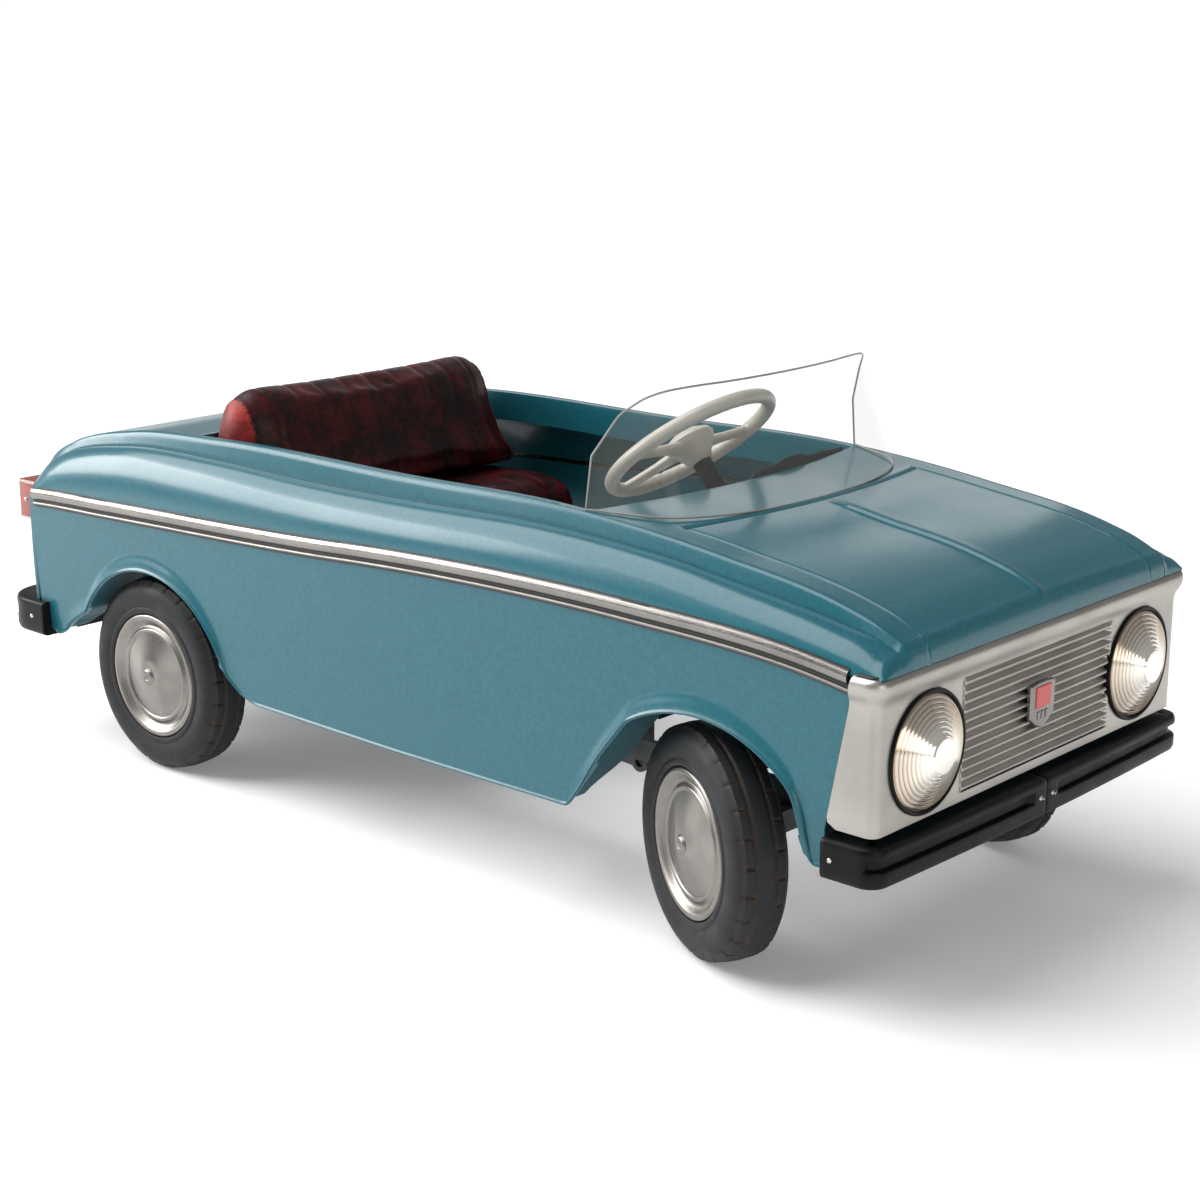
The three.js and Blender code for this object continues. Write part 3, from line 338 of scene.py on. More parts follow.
class Finish:
    """A Principled material and the node calls that its patterns need."""

    def __init__(self, name, **sockets):
        self.material = bpy.data.materials.new(name)
        self.material.use_nodes = True
        self.tree = self.material.node_tree
        self.shader = self.tree.nodes["Principled BSDF"]
        for socket, value in sockets.items():
            self.shader.inputs[socket.replace("_", " ")].default_value = value
        FINISHES[name] = self.material

    def node(self, kind, inputs=None, **settings):
        made = self.tree.nodes.new(kind)
        for key, value in settings.items():
            setattr(made, key, value)
        for key, value in (inputs or {}).items():
            if isinstance(value, bpy.types.NodeSocket):
                self.tree.links.new(value, made.inputs[key])
            else:
                made.inputs[key].default_value = value
        return made

    def link(self, output, socket):
        self.tree.links.new(output, self.shader.inputs[socket])

    def place(self, stretch=(1, 1, 1)):
        where = self.node("ShaderNodeTexCoord").outputs["Object"]
        return self.node("ShaderNodeMapping", {"Vector": where, "Scale": stretch}).outputs["Vector"]

    def noise(self, scale, vector=None, detail=4.0, rough=0.55):
        vector = vector or self.place()
        return self.node("ShaderNodeTexNoise", {"Vector": vector, "Scale": scale, "Detail": detail,
                                                "Roughness": rough}).outputs["Fac"]

    def blend(self, factor, low, high):
        mix = self.node("ShaderNodeMix", data_type="RGBA")
        self.tree.links.new(factor, mix.inputs["Factor"])
        mix.inputs[6].default_value = (*low, 1)
        mix.inputs[7].default_value = (*high, 1)
        return mix.outputs[2]

    def spread(self, value, low, high, to_low, to_high):
        return self.node("ShaderNodeMapRange", {"Value": value, "From Min": low, "From Max": high,
                                                "To Min": to_low, "To Max": to_high}).outputs["Result"]

    def bump(self, height, strength, distance, normal=None):
        inputs = {"Height": height, "Strength": strength, "Distance": distance}
        if normal is not None:
            inputs["Normal"] = normal
        return self.node("ShaderNodeBump", inputs).outputs["Normal"]


def paint_finish(name, colour, rough=0.3, coat=0.4):
    f = Finish(name, Roughness=rough, Coat_Weight=coat, Coat_Roughness=0.14, Specular_IOR_Level=0.35)
    dark = tuple(c * 0.86 for c in colour)
    light = tuple(min(c * 1.12, 1) for c in colour)
    f.link(f.blend(f.spread(f.noise(260, detail=6), 0.3, 0.7, 0, 1), dark, light), "Base Color")
    f.link(f.spread(f.noise(9), 0.3, 0.7, rough - 0.04, rough + 0.06), "Roughness")
    f.link(f.bump(f.noise(420, detail=2), 0.12, 0.0004), "Normal")


def brushed_finish(name, colour, stretch, rough=0.3):
    f = Finish(name, Metallic=1.0)
    lines = f.noise(60, f.place(stretch), detail=5)
    stain = f.noise(14, detail=5)
    dark = tuple(c * 0.8 for c in colour)
    f.link(f.blend(f.spread(stain, 0.35, 0.7, 0, 1), colour, dark), "Base Color")
    f.link(f.spread(lines, 0.3, 0.7, rough - 0.06, rough + 0.12), "Roughness")
    f.link(f.bump(lines, 0.25, 0.0003, f.bump(stain, 0.2, 0.0008)), "Normal")


def turned_metal_finish(name, colour):
    """Metal brushed round its centre: the map's U runs round the piece, V along the radius."""
    f = Finish(name, Metallic=1.0, Anisotropic=0.75)
    tangent = f.node("ShaderNodeTangent", direction_type="UV_MAP", uv_map="round")
    f.link(tangent.outputs["Tangent"], "Tangent")
    place = f.node("ShaderNodeUVMap", uv_map="round").outputs["UV"]
    rings = f.noise(1.0, f.node("ShaderNodeMapping", {"Vector": place,
                                                      "Scale": (3, 1400, 1)}).outputs["Vector"])
    stain = f.noise(30, detail=6)
    dark = tuple(c * 0.72 for c in colour)
    f.link(f.blend(f.spread(stain, 0.4, 0.75, 0, 1), colour, dark), "Base Color")
    f.link(f.spread(rings, 0.3, 0.7, 0.26, 0.36), "Roughness")
    f.link(f.bump(rings, 0.1, 0.0002), "Normal")


def plastic_finish(name, colour, rough, grain=900, depth=0.0002, coat=0.0, shine=0.5):
    f = Finish(name, Coat_Weight=coat, Coat_Roughness=0.15, Specular_IOR_Level=shine)
    dark = tuple(c * 0.82 for c in colour)
    f.link(f.blend(f.spread(f.noise(25, detail=6), 0.35, 0.75, 0, 1), colour, dark), "Base Color")
    f.link(f.spread(f.noise(40), 0.3, 0.7, rough - 0.06, rough + 0.08), "Roughness")
    f.link(f.bump(f.noise(grain, detail=2), 0.2, depth), "Normal")


def rubber_finish():
    f = Finish("tyre_rubber", Specular_IOR_Level=0.35)
    dirt = f.node("ShaderNodeAttribute", attribute_name="groove").outputs["Fac"]
    fine = f.noise(900, detail=3)
    dust = f.node("ShaderNodeMath", {0: dirt, 1: f.spread(f.noise(90, detail=6), 0.35, 0.65, 0.35, 1)},
                  operation="MULTIPLY").outputs["Value"]
    f.link(f.blend(dust, (0.011, 0.012, 0.014), (0.06, 0.033, 0.018)), "Base Color")
    f.link(f.spread(f.noise(60), 0.3, 0.7, 0.5, 0.68), "Roughness")
    f.link(f.bump(fine, 0.35, 0.0003), "Normal")


def leather_finish(name, deep, bright):
    f = Finish(name, Coat_Weight=0.05, Coat_Roughness=0.3, Specular_IOR_Level=0.25)
    cloud = f.noise(26, detail=9, rough=0.68)
    speck = f.noise(150, detail=6, rough=0.7)
    patch = f.node("ShaderNodeMath", {0: cloud, 1: f.spread(speck, 0.3, 0.7, -0.1, 0.1)},
                   operation="ADD").outputs["Value"]
    f.link(f.blend(f.spread(patch, 0.42, 0.62, 0, 1), deep, bright), "Base Color")
    cells = f.node("ShaderNodeTexVoronoi", {"Vector": f.place(), "Scale": 520.0},
                   feature="DISTANCE_TO_EDGE")
    creases = f.noise(45, detail=8, rough=0.7)
    f.link(f.spread(creases, 0.3, 0.7, 0.36, 0.56), "Roughness")
    grain = f.bump(cells.outputs["Distance"], 0.25, 0.0004)
    f.link(f.bump(creases, 0.35, 0.0015, grain), "Normal")


def lens_finish():
    f = Finish("lamp_lens", Metallic=0.85, Roughness=0.16, Coat_Weight=1.0, Coat_Roughness=0.04)
    # The ring attribute blends painted shade into the lens colour: pale in the middle, darker in the
    # hollows and towards the rim.
    radius = f.node("ShaderNodeAttribute", attribute_name="ring").outputs["Fac"]
    f.link(f.blend(radius, (1.0, 0.96, 0.88), (0.36, 0.25, 0.145)), "Base Color")
    f.link(f.bump(f.noise(200, detail=4), 0.15, 0.0004), "Normal")


def clear_finish():
    f = Finish("clear_sheet", Base_Color=(0.38, 0.39, 0.37, 1), Roughness=0.05, Alpha=0.09,
               Specular_IOR_Level=0.9)
    f.link(f.spread(f.noise(12), 0.3, 0.7, 0.03, 0.1), "Roughness")
    edge = Finish("clear_edge", Base_Color=(0.3, 0.31, 0.29, 1), Roughness=0.2)
    edge.link(edge.spread(edge.noise(60), 0.3, 0.7, 0.15, 0.3), "Roughness")


def make_finishes(colours):
    paint_finish("body_paint", tuple(colours.body_paint))
    # Blue inside paint made much darker: partly its own colour, partly painted shade for the dark inside of
    # the body.
    paint_finish("inner_paint_and_shade", tuple(colours.inner_paint_and_shade), 0.5, 0.0)
    # Darker copy of the body paint: painted shade for the inward-turned arch flanges and the inner side of
    # the side panels.
    paint_finish("arch_shaded_paint", tuple(c * 0.6 for c in colours.body_paint), 0.6, 0.0)
    brushed_finish("brushed_sheet", tuple(c * 0.8 for c in colours.bright_metal), (1, 1, 30), 0.34)
    brushed_finish("bright_trim", (0.29, 0.272, 0.255), (1, 30, 30), 0.24)
    brushed_finish("dull_trim", (0.2, 0.185, 0.17), (1, 30, 30), 0.3)
    turned_metal_finish("turned_metal", (0.29, 0.275, 0.255))
    plastic_finish("bumper_black", (0.004, 0.004, 0.005), 0.36, coat=0.0, shine=0.16)
    plastic_finish("dark_rubber_line", (0.012, 0.012, 0.014), 0.45)
    plastic_finish("trim_foam", (0.02, 0.016, 0.014), 0.85, grain=260, depth=0.004)
    plastic_finish("dark_steel", (0.03, 0.032, 0.035), 0.5)
    plastic_finish("lamp_red", tuple(colours.lamp_red), 0.25, coat=0.4)
    plastic_finish("badge_red", (0.62, 0.015, 0.012), 0.25, coat=0.6)
    plastic_finish("ivory", tuple(colours.hand_wheel), 0.34, coat=0.2)
    brushed_finish("screw_metal", (0.75, 0.74, 0.72), (1, 1, 1), 0.25)
    rubber_finish()
    leather_finish("seat_leather", tuple(colours.seat_deep), tuple(colours.seat_bright))
    # Much brighter copy of the seat leather for the cushion ends: painted highlight.
    leather_finish("seat_end_highlight_leather", (0.16, 0.008, 0.007), (0.36, 0.03, 0.022))
    lens_finish()
    clear_finish()


# ---- body panels ----
def arch_path(arch, rear_foot, front_foot):
    arc = arc_points(arch["x"], arch["z"], arch["r"], arch["from"], arch["to"], 40)
    return np.vstack((rear_foot, arc, front_foot))


def sill_path():
    """Lower edge of the side from the tail to the nose, round both wheel openings."""
    rear = arch_path(REAR_ARCH, [(-490, 118), (-478, 129)], [(-232, 124), (-214, 109), (-192, 102)])
    front = arch_path(FRONT_ARCH, [(212, 101), (232, 125), (256, 159)],
                      [(466, 142), (482, 123), (492, 117)])
    ends = [(-537, 128)], [(-506, 112)], rear, [(0, 100)], front, [(507, 117)]
    return rounded(np.vstack(ends), 420, 3)


def side_panel():
    low = sill_path()
    count = len(low)
    top_x = np.linspace(-537, 507, count) * 0.5 + np.maximum.accumulate(low[:, 0]) * 0.5
    high = belt_z(top_x) - 1
    inward = normals_2d(low)
    rows_in = 16
    rows_up = 34

    def place(u, v):
        i = np.rint(u * (count - 1)).astype(int)
        row = np.rint(v * (rows_in + rows_up)).astype(int)
        up = np.clip((row - rows_in) / rows_up, 0, 1) ** 1.6
        x = low[i, 0] * (1 - up) + top_x[i] * up
        z = low[i, 1] * (1 - up) + high[i] * up
        reach = np.hypot(x - low[i, 0], z - low[i, 1])
        slant = 24 * np.clip((z - 150) / 125, 0, 1)
        x = np.where(x > 400, x - (24 - slant) * ramp(x, 440, 507) * 1.2, x)
        in_arch = np.maximum(ramp(low[i, 1], 104, 150) * (np.abs(low[i, 0]) < 500), 0)
        flare = 3.5 * in_arch * (1 - ramp(reach, 3, 19))
        inside = np.clip((rows_in - row) / rows_in, 0, 1)
        turn = np.clip(inside * 3.2, 0, 1) * math.pi / 2
        depth = 4 * (1 - np.cos(turn)) + np.clip(inside - 0.31, 0, 1) / 0.69 * (18 + 36 * in_arch)
        roll = 4 * (1 - np.sin(turn)) - 4
        y = -(side_y(z) + flare) + np.where(inside > 0, depth, 0)
        x = x + np.where(inside > 0, inward[i, 0] * roll, 0)
        z = z + np.where(inside > 0, inward[i, 1] * roll, 0)
        return x, y, z

    obj = grid_piece("side_panel_right_skin", count - 1, rows_in + rows_up, place)
    edit(obj, weld, face_out)
    if obj.data.polygons[len(obj.data.polygons) // 2].normal.y > 0:
        obj.data.flip_normals()
    for face in obj.data.polygons:
        # Faces turned in at the arches and the panel's inner side take the darker copy of the body paint,
        # as painted shade.
        face.material_index = 1 if face.center.y * 1000 > 8 - side_y(face.center.z * 1000) else 0
    modify(obj, "SOLIDIFY", thickness=0.0016, offset=-1, material_offset=1, use_quality_normals=True)
    return soften(obj, 50)


def tail_plan(y):
    """How far the tail's rounded corner lies ahead of its middle."""
    return 33 * np.clip((np.abs(y) - 150) / 72, 0, 1) ** 2


def lateral_stations():
    """Half section as (half-width, drop below the deck edge): deck, coaming edge, step and shoulder."""
    inner = [0, 1.2, 2.4, 3.6, 5, 7, 10, 14, 20, 30, 45, 60, 80, 100, 120, 138, 148, 154]
    groove = list(np.arange(156.5, 168, 0.9))
    outer = [170, 174, 178, 180.2, COCKPIT_Y, 182.2, 184, 186.5, 188.2]
    return np.array(inner + groove + outer)


def upper_body():
    """Deck, coaming, step and shoulders in one skin from the tail to the nose, with the cockpit open."""
    flat = lateral_stations()
    edge_deg = np.linspace(90, 20, 5)
    shoulder_deg = np.linspace(90, 0, 18)
    half_rows = len(flat) + len(edge_deg) + 5 + len(shoulder_deg)
    rear = np.concatenate((np.linspace(TAIL_X, -500, 22), np.linspace(-495, -312, 34),
                           np.linspace(-308, -300, 9)))
    middle = np.concatenate((np.linspace(-294, 196, 84), np.linspace(200, 212, 13)))
    front = np.concatenate((np.linspace(218, 282, 14), np.linspace(285, 295, 13),
                            np.linspace(300, 514, 48)))
    nose = np.full(9, NOSE_X)
    columns = np.concatenate((rear, middle, front, nose))
    nose_turn = np.concatenate((np.zeros(len(columns) - len(nose)), np.linspace(0, 90, len(nose))))

    def half_section(row, x):
        """Half-width and height on a row of the half section at x."""
        top = deck_z(x)
        crease = np.maximum(top - step_drop(x), belt_z(x) + 5)
        low = belt_z(x) + 3
        n = len(flat)
        y = flat[np.clip(row, 0, n - 1)]
        z = top + centre_rise(x) * (1 - (np.clip(y, 0, DECK_Y) / DECK_Y) ** 2)
        e = np.clip(row - n, 0, len(edge_deg) - 1)
        a = np.radians(edge_deg[e])
        y = np.where(row >= n, 188.2 + 2 * np.cos(a), y)
        z = np.where(row >= n, top - 2 + 2 * np.sin(a), z)
        s = row - n - len(edge_deg)
        step = (s + 1) / 6
        y = np.where(s >= 0, 190.2 + (CREASE_Y - 190.2) * step, y)
        z = np.where(s >= 0, top - 1.4 + (crease - top + 1.4) * step, z)
        h = s - 5
        b = np.radians(shoulder_deg[np.clip(h, 0, len(shoulder_deg) - 1)])
        y = np.where(h >= 0, CREASE_Y + (BODY_HALF - CREASE_Y) * np.cos(b) ** 0.9, y)
        z = np.where(h >= 0, low + (crease - low) * np.sin(b), z)
        return y, z

    def place(u, v):
        i = np.rint(u * (len(columns) - 1)).astype(int)
        j = np.rint(v * 2 * (half_rows - 1)).astype(int) - (half_rows - 1)
        side = np.where(j < 0, -1, 1)
        base = columns[i]
        y, z = half_section(np.abs(j), base)
        inner = np.clip(y / COCKPIT_Y, 0, 1)
        bow = DASH_BOW * (1 - inner**2) * ramp(base, 150, 206) * (1 - ramp(base, 300, 400))
        x = base + bow
        x = x + tail_plan(y) * ramp(-x, 480, 560)
        turn = np.radians(nose_turn[i])
        z = LIP_Z + (z - LIP_Z) * np.cos(turn)
        x = x + 8.5 * np.sin(turn)
        z = z - 2.4 * groove_depth(x, y) + 3.2 * ridge_height(x, side * y)
        return x, side * y, z

    obj = grid_piece("upper_body_skin", len(columns) - 1, 2 * (half_rows - 1), place)
    open_cockpit(obj)
    return obj


def groove_depth(x, y):
    """Pressed line round the bonnet: across behind it and forwards along both sides."""
    across = GROOVE_X + 18 * (1 - np.clip(y / GROOVE_Y, 0, 1) ** 2)
    line_y = GROOVE_Y + 3 * np.clip((x - GROOVE_X) / 245, 0, 1)
    behind = np.where(y < line_y, np.abs(x - across), np.hypot(x - GROOVE_X, y - line_y))
    beside = np.where(x > GROOVE_X, np.abs(y - line_y), np.hypot(x - GROOVE_X, y - line_y))
    return np.maximum(dent(behind, 1.5), dent(beside, 1.3))


def ridge_height(x, y):
    """Raised crease down the bonnet's middle: a steep right flank and a soft left one."""
    start = ramp(x, 308, 350)
    end = 1 - ramp(x, 519, 526)
    steep = ramp(y, -6, -3)
    soft = 1 - ramp(y, -2, 9)
    return start * end * steep * soft


def open_cockpit(obj):
    """Removes the faces over the cockpit and turns the edge down inside."""
    mesh = obj.data
    lo = COCKPIT_X[0] / 1000 + MIDDLE
    hi = COCKPIT_X[1] / 1000 + MIDDLE
    bow = DASH_BOW / 1000
    half = COCKPIT_Y / 1000
    take(obj)
    bpy.ops.object.mode_set(mode="EDIT")
    bpy.ops.mesh.select_mode(type="FACE")
    bpy.ops.mesh.select_all(action="DESELECT")
    bpy.ops.object.mode_set(mode="OBJECT")
    for face in mesh.polygons:
        c = face.center
        front = hi + bow * (1 - min(abs(c.y) / half, 1) ** 2)
        face.select = lo < c.x < front and abs(c.y) < half
    bpy.ops.object.mode_set(mode="EDIT")
    bpy.ops.mesh.delete(type="FACE")
    bpy.ops.mesh.select_all(action="SELECT")
    face_out()
    bpy.ops.mesh.select_mode(type="EDGE")
    bpy.ops.mesh.select_all(action="DESELECT")
    bpy.ops.mesh.select_non_manifold()
    bpy.ops.object.mode_set(mode="OBJECT")
    for edge in mesh.edges:
        if edge.select:
            middle = (mesh.vertices[edge.vertices[0]].co + mesh.vertices[edge.vertices[1]].co) / 2
            edge.select = abs(middle.y) < half + 0.002 and lo - 0.01 < middle.x < hi + bow + 0.01
    bpy.ops.object.mode_set(mode="EDIT")
    for drop in (0.0015, 0.006, 0.021):
        bpy.ops.mesh.extrude_region_move(TRANSFORM_OT_translate={"value": (0, 0, -drop)})
    bpy.ops.mesh.select_all(action="SELECT")
    bpy.ops.object.mode_set(mode="OBJECT")
    top = max(mesh.polygons, key=lambda face: face.center.z)
    if top.normal.z < 0:
        mesh.flip_normals()
    modify(obj, "SOLIDIFY", thickness=0.0015, offset=-1, material_offset=1)
    soften(obj, 35)


def tail_panel():
    plan = tail_plan(np.linspace(-BODY_HALF, BODY_HALF, 121))
    path = np.column_stack((TAIL_X + plan, np.linspace(BODY_HALF, -BODY_HALF, 121)))
    lower = [(14, 117), (4, 117.5), (1, 120)]
    profile = np.array(lower + [(0, z) for z in np.linspace(126, 246, 14)] + [(0.3, 252), (1, 256)])
    corner = np.clip(np.abs(path[:, 1]) - DECK_Y, 0, None) / (BODY_HALF - DECK_Y)
    lift = (deck_z(TAIL_X) - 256) * np.sqrt(np.clip(1 - corner**2, 0, 1))

    def place(u, v):
        i = np.rint(u * (len(path) - 1)).astype(int)
        j = np.rint(v * (len(profile) - 1)).astype(int)
        z = profile[j, 1]
        return path[i, 0] + profile[j, 0], path[i, 1], z + lift[i] * ramp(z, 246, 256)

    obj = grid_piece("tail_panel_skin", len(path) - 1, len(profile) - 1, place)
    edit(obj, face_out)
    if obj.data.polygons[len(obj.data.polygons) // 2].normal.x > 0:
        obj.data.flip_normals()
    modify(obj, "SOLIDIFY", thickness=0.0015, offset=-1, material_offset=1)
    return soften(obj, 40)


def front_apron():
    section = [(-12, 119), (-1.5, 119), (0, 120.5), (0, 153), (-1.5, 154), (-3, 153), (-3, 122), (-12, 121)]
    path = np.column_stack((np.full(9, 508.0), np.linspace(205, -205, 9)))
    return soften(swept_piece("front_apron_sheet", path[::-1], section), 40)


class PEDALCAR_OT_body(bpy.types.Operator):
    """Builds the painted body: sides, upper body, tail and apron"""

    bl_idname = "pedalcar.body"
    bl_label = "Body Panels"

    def execute(self, context):
        right = side_panel()
        left = mirrored(right, "side_panel_left_skin")
        # Second slot: inside paint darkened with painted shade.
        skins = ["body_paint", "inner_paint_and_shade"]
        # The second slot is the darker copy of the body paint, painted shade for the flanges and inner
        # side.
        dress(right, ["body_paint", "arch_shaded_paint"], "body", ["side_panel_right"])
        dress(left, ["body_paint", "arch_shaded_paint"], "body", ["side_panel_left"])
        covered = ["shoulder_right", "shoulder_left", "bonnet", "cowl", "rear_deck"]
        dress(upper_body(), skins, "body", covered)
        dress(tail_panel(), skins, "body", ["tail_panel"])
        dress(front_apron(), "body_paint", "body", ["front_apron"])
        return {"FINISHED"}


# ---- grille and lamps ----
SHELL_HALF = BODY_HALF + 0.6
SHELL_REAR_X = 480
SHELL_FOOT_Z = 153
SHELL_RISE = 124
RIB_COUNT = 12
RIB_HALF = 110
RIB_LOW = 160
RIB_PITCH = 7.8


def front_plan(half, x, radius, end_x, face_count=60):
    """Plan path from the right side's rear end, round the corner, across the face and back."""
    side = [(end_x, -half)]
    corner = arc_points(x - radius, -half + radius, radius, -90, 0, 12)
    face = [(x, y) for y in np.linspace(-half + radius, half - radius, face_count)]
    other = arc_points(x - radius, half - radius, radius, 0, 90, 12)
    return np.vstack((side, corner, face[1:-1], other, [(end_x, half)]))


def grille_shell():
    path = front_plan(SHELL_HALF, GRILLE_X, 9, SHELL_REAR_X)
    normal = normals_2d(path)
    lip = [(0.3, 253), (1.2, 256), (2.8, 259), (4.6, 262), (6, 265), (6.8, 268.5), (6.6, 272),
           (5.4, 274.8), (3.2, 276.6), (0, 277.2), (-4, 277), (-5, 275)]
    profile = np.array([(0, z) for z in np.linspace(SHELL_FOOT_Z, 250, 24)] + lip)

    def place(u, v):
        i = np.rint(u * (len(path) - 1)).astype(int)
        j = np.rint(v * (len(profile) - 1)).astype(int)
        out, z = profile[j].T
        x = path[i, 0] + normal[i, 0] * out
        y = path[i, 1] + normal[i, 1] * out
        rise = z - SHELL_FOOT_Z
        rear = SHELL_REAR_X + 24 * rise / SHELL_RISE + 10 * (1 - np.clip(rise / 7, 0, 1)) ** 2
        x = np.where(i * (len(path) - 1 - i) == 0, rear, x)
        return x, y, z

    obj = grid_piece("grille_shell_sheet", len(path) - 1, len(profile) - 1, place)
    edit(obj, face_out)
    if max(obj.data.polygons, key=lambda face: face.center.x).normal.x < 0:
        obj.data.flip_normals()
    modify(obj, "SOLIDIFY", thickness=0.0012, offset=-1)
    for side in (-1, 1):
        cut_with(obj, round_tool(side, LAMP_HOLE_R))
    cut_with(obj, window_tool())
    return soften(obj, 35)


def bonnet_seal():
    """Thin black bead where the painted bonnet meets the shell's lip."""
    path = front_plan(SHELL_HALF + 0.6, GRILLE_X + 1.4, 9, 506)
    section = [(-1.2, LIP_Z + 0.2), (1.4, LIP_Z + 0.2), (1.9, LIP_Z + 1.2), (1.2, LIP_Z + 2.2),
               (-1.2, LIP_Z + 2.2)]
    return soften(swept_piece("bonnet_seal_bead", path, section), 40)


def round_tool(side, radius):
    deselect()
    where = put((GRILLE_X, side * LAMP_Y, LAMP_Z))
    bpy.ops.mesh.primitive_cylinder_add(vertices=96, radius=radius / 1000, depth=0.06, location=where,
                                        rotation=(0, math.pi / 2, 0))
    bpy.ops.object.transform_apply()
    return bpy.context.object


def window_tool():
    deselect()
    top = RIB_LOW + RIB_COUNT * RIB_PITCH
    bpy.ops.mesh.primitive_cube_add(size=1, location=put((GRILLE_X, 0, (RIB_LOW + top) / 2)),
                                    scale=(0.06, 2 * (RIB_HALF + 0.1) / 1000, (top - RIB_LOW) / 1000))
    bpy.ops.object.transform_apply()
    return bpy.context.object


def grille_ribs():
    """Pressed sheet of rounded horizontal ribs, scalloped at its ends."""
    steps = 8
    rows = RIB_COUNT * steps
    columns = 150

    def place(u, v):
        z = RIB_LOW + v * RIB_COUNT * RIB_PITCH
        phase = (v * RIB_COUNT) % 1.0
        y = (u - 0.5) * 2 * RIB_HALF
        wave = np.clip(np.sin(np.pi * np.clip(phase / 0.82, 0, 1)), 0, 1) ** 0.6
        flat = np.maximum(ramp(np.abs(y), RIB_HALF - 4, RIB_HALF), dent(v - 1, 0.006))
        x = GRILLE_X + 0.9 - 4.4 * (1 - wave) * (1 - flat)
        return x, y, z

    obj = grid_piece("grille_rib_sheet", columns, rows, place)
    edit(obj, face_out)
    if obj.data.polygons[0].normal.x < 0:
        obj.data.flip_normals()
    modify(obj, "SOLIDIFY", thickness=0.001, offset=-1)
    for side in (-1, 1):
        cut_with(obj, round_tool(side, 51.5))
    return soften(obj, 40)


def lamp_profile():
    """Stepped cone of the lens as (radius, forward) with a flat middle."""
    points = [(0, 17.5), (11, 17.4), (14, 16.6), (LENS_FLAT_R, LENS_FLAT_Z)]
    band = LENS_R - LENS_FLAT_R
    width = band / LENS_STEPS
    for i in range(LENS_STEPS):
        r = LENS_FLAT_R + band * i / LENS_STEPS
        top = LENS_FLAT_Z - LENS_FALL * (i / LENS_STEPS) ** 0.95
        low = LENS_FLAT_Z - LENS_FALL * ((i + 1) / LENS_STEPS) ** 0.95
        points += [(r + width * 0.18, top + 0.5), (r + width * 0.55, top - (top - low) * 0.35),
                   (r + width * 0.85, low - 0.1)]
    return points + [(LENS_R, 1.2), (LENS_R, -2.2), (0, -2.2)]


def paint_lens_shade(obj, centre):
    """Point attribute of painted shade: darkens the lens colour in the hollows and on the outer steps."""
    co = points_of(obj) * 1000
    at = np.array(put(centre)) * 1000
    r = np.hypot(co[:, 1] - at[1], co[:, 2] - at[2])
    step = ((r - LENS_FLAT_R) / ((LENS_R - LENS_FLAT_R) / LENS_STEPS)) % 1.0
    step_shade = np.where(r > LENS_FLAT_R, 0.12 + 0.6 * (step > 0.62), 0.0) * ramp(r, 17, 30)
    value = step_shade + 0.4 * ramp(r, 22, LENS_R)
    obj.data.attributes.new("ring", "FLOAT", "POINT").data.foreach_set("value", value.astype(np.float32))


def headlamp(side, word):
    centre = (GRILLE_X, side * LAMP_Y, LAMP_Z)
    lens = spun_piece(f"headlamp_glass_{word}", lamp_profile(), centre, (1, 0, 0), 128)
    paint_lens_shade(lens, centre)
    soften(lens, 30)
    gasket = [(46.4, -5), (49.6, -5), (49.6, 1.2), (49, 2.3), (47.6, 2.6), (46.4, 1.6), (46.4, -5)]
    ring = soften(spun_piece(f"headlamp_gasket_{word}", gasket, centre, (1, 0, 0), 96), 40)
    bowl = [(0, -23), (14, -22), (32, -13.5), (45, -3), (43.6, -3), (31, -12.5), (13, -20.6), (0, -21.6)]
    back = soften(spun_piece(f"headlamp_bowl_{word}", bowl, centre, (1, 0, 0), 64), 40)
    dress(lens, "lamp_lens", "body", [f"headlamp_lens_{word}"])
    dress(ring, "bumper_black", "body", [f"headlamp_ring_{word}"])
    dress(back, "bright_trim", "body", [f"headlamp_reflector_{word}"])


def shield(scale, x0, x1, lift):
    """Flat shield with a broad shoulder and a pointed foot."""
    outline = [(-1, 1), (-0.35, 1.08), (0.35, 1.08), (1, 1), (0.97, -0.5), (0.55, -0.82), (0, -1.08),
               (-0.55, -0.82), (-0.97, -0.5)]
    points = [(x, y * 20 * scale, lift + z * 20 * scale) for x in (x0, x1) for y, z in outline]
    n = len(outline)
    faces = [tuple(range(n)), tuple(range(2 * n - 1, n - 1, -1))]
    faces += [(i, i + n, (i + 1) % n + n, (i + 1) % n) for i in range(n)]
    mesh = bpy.data.meshes.new("shield")
    mesh.from_pydata([tuple(put(p)) for p in points], [], faces)
    obj = bpy.data.objects.new("shield", mesh)
    bpy.context.scene.collection.objects.link(obj)
    edit(obj, face_out)
    return obj


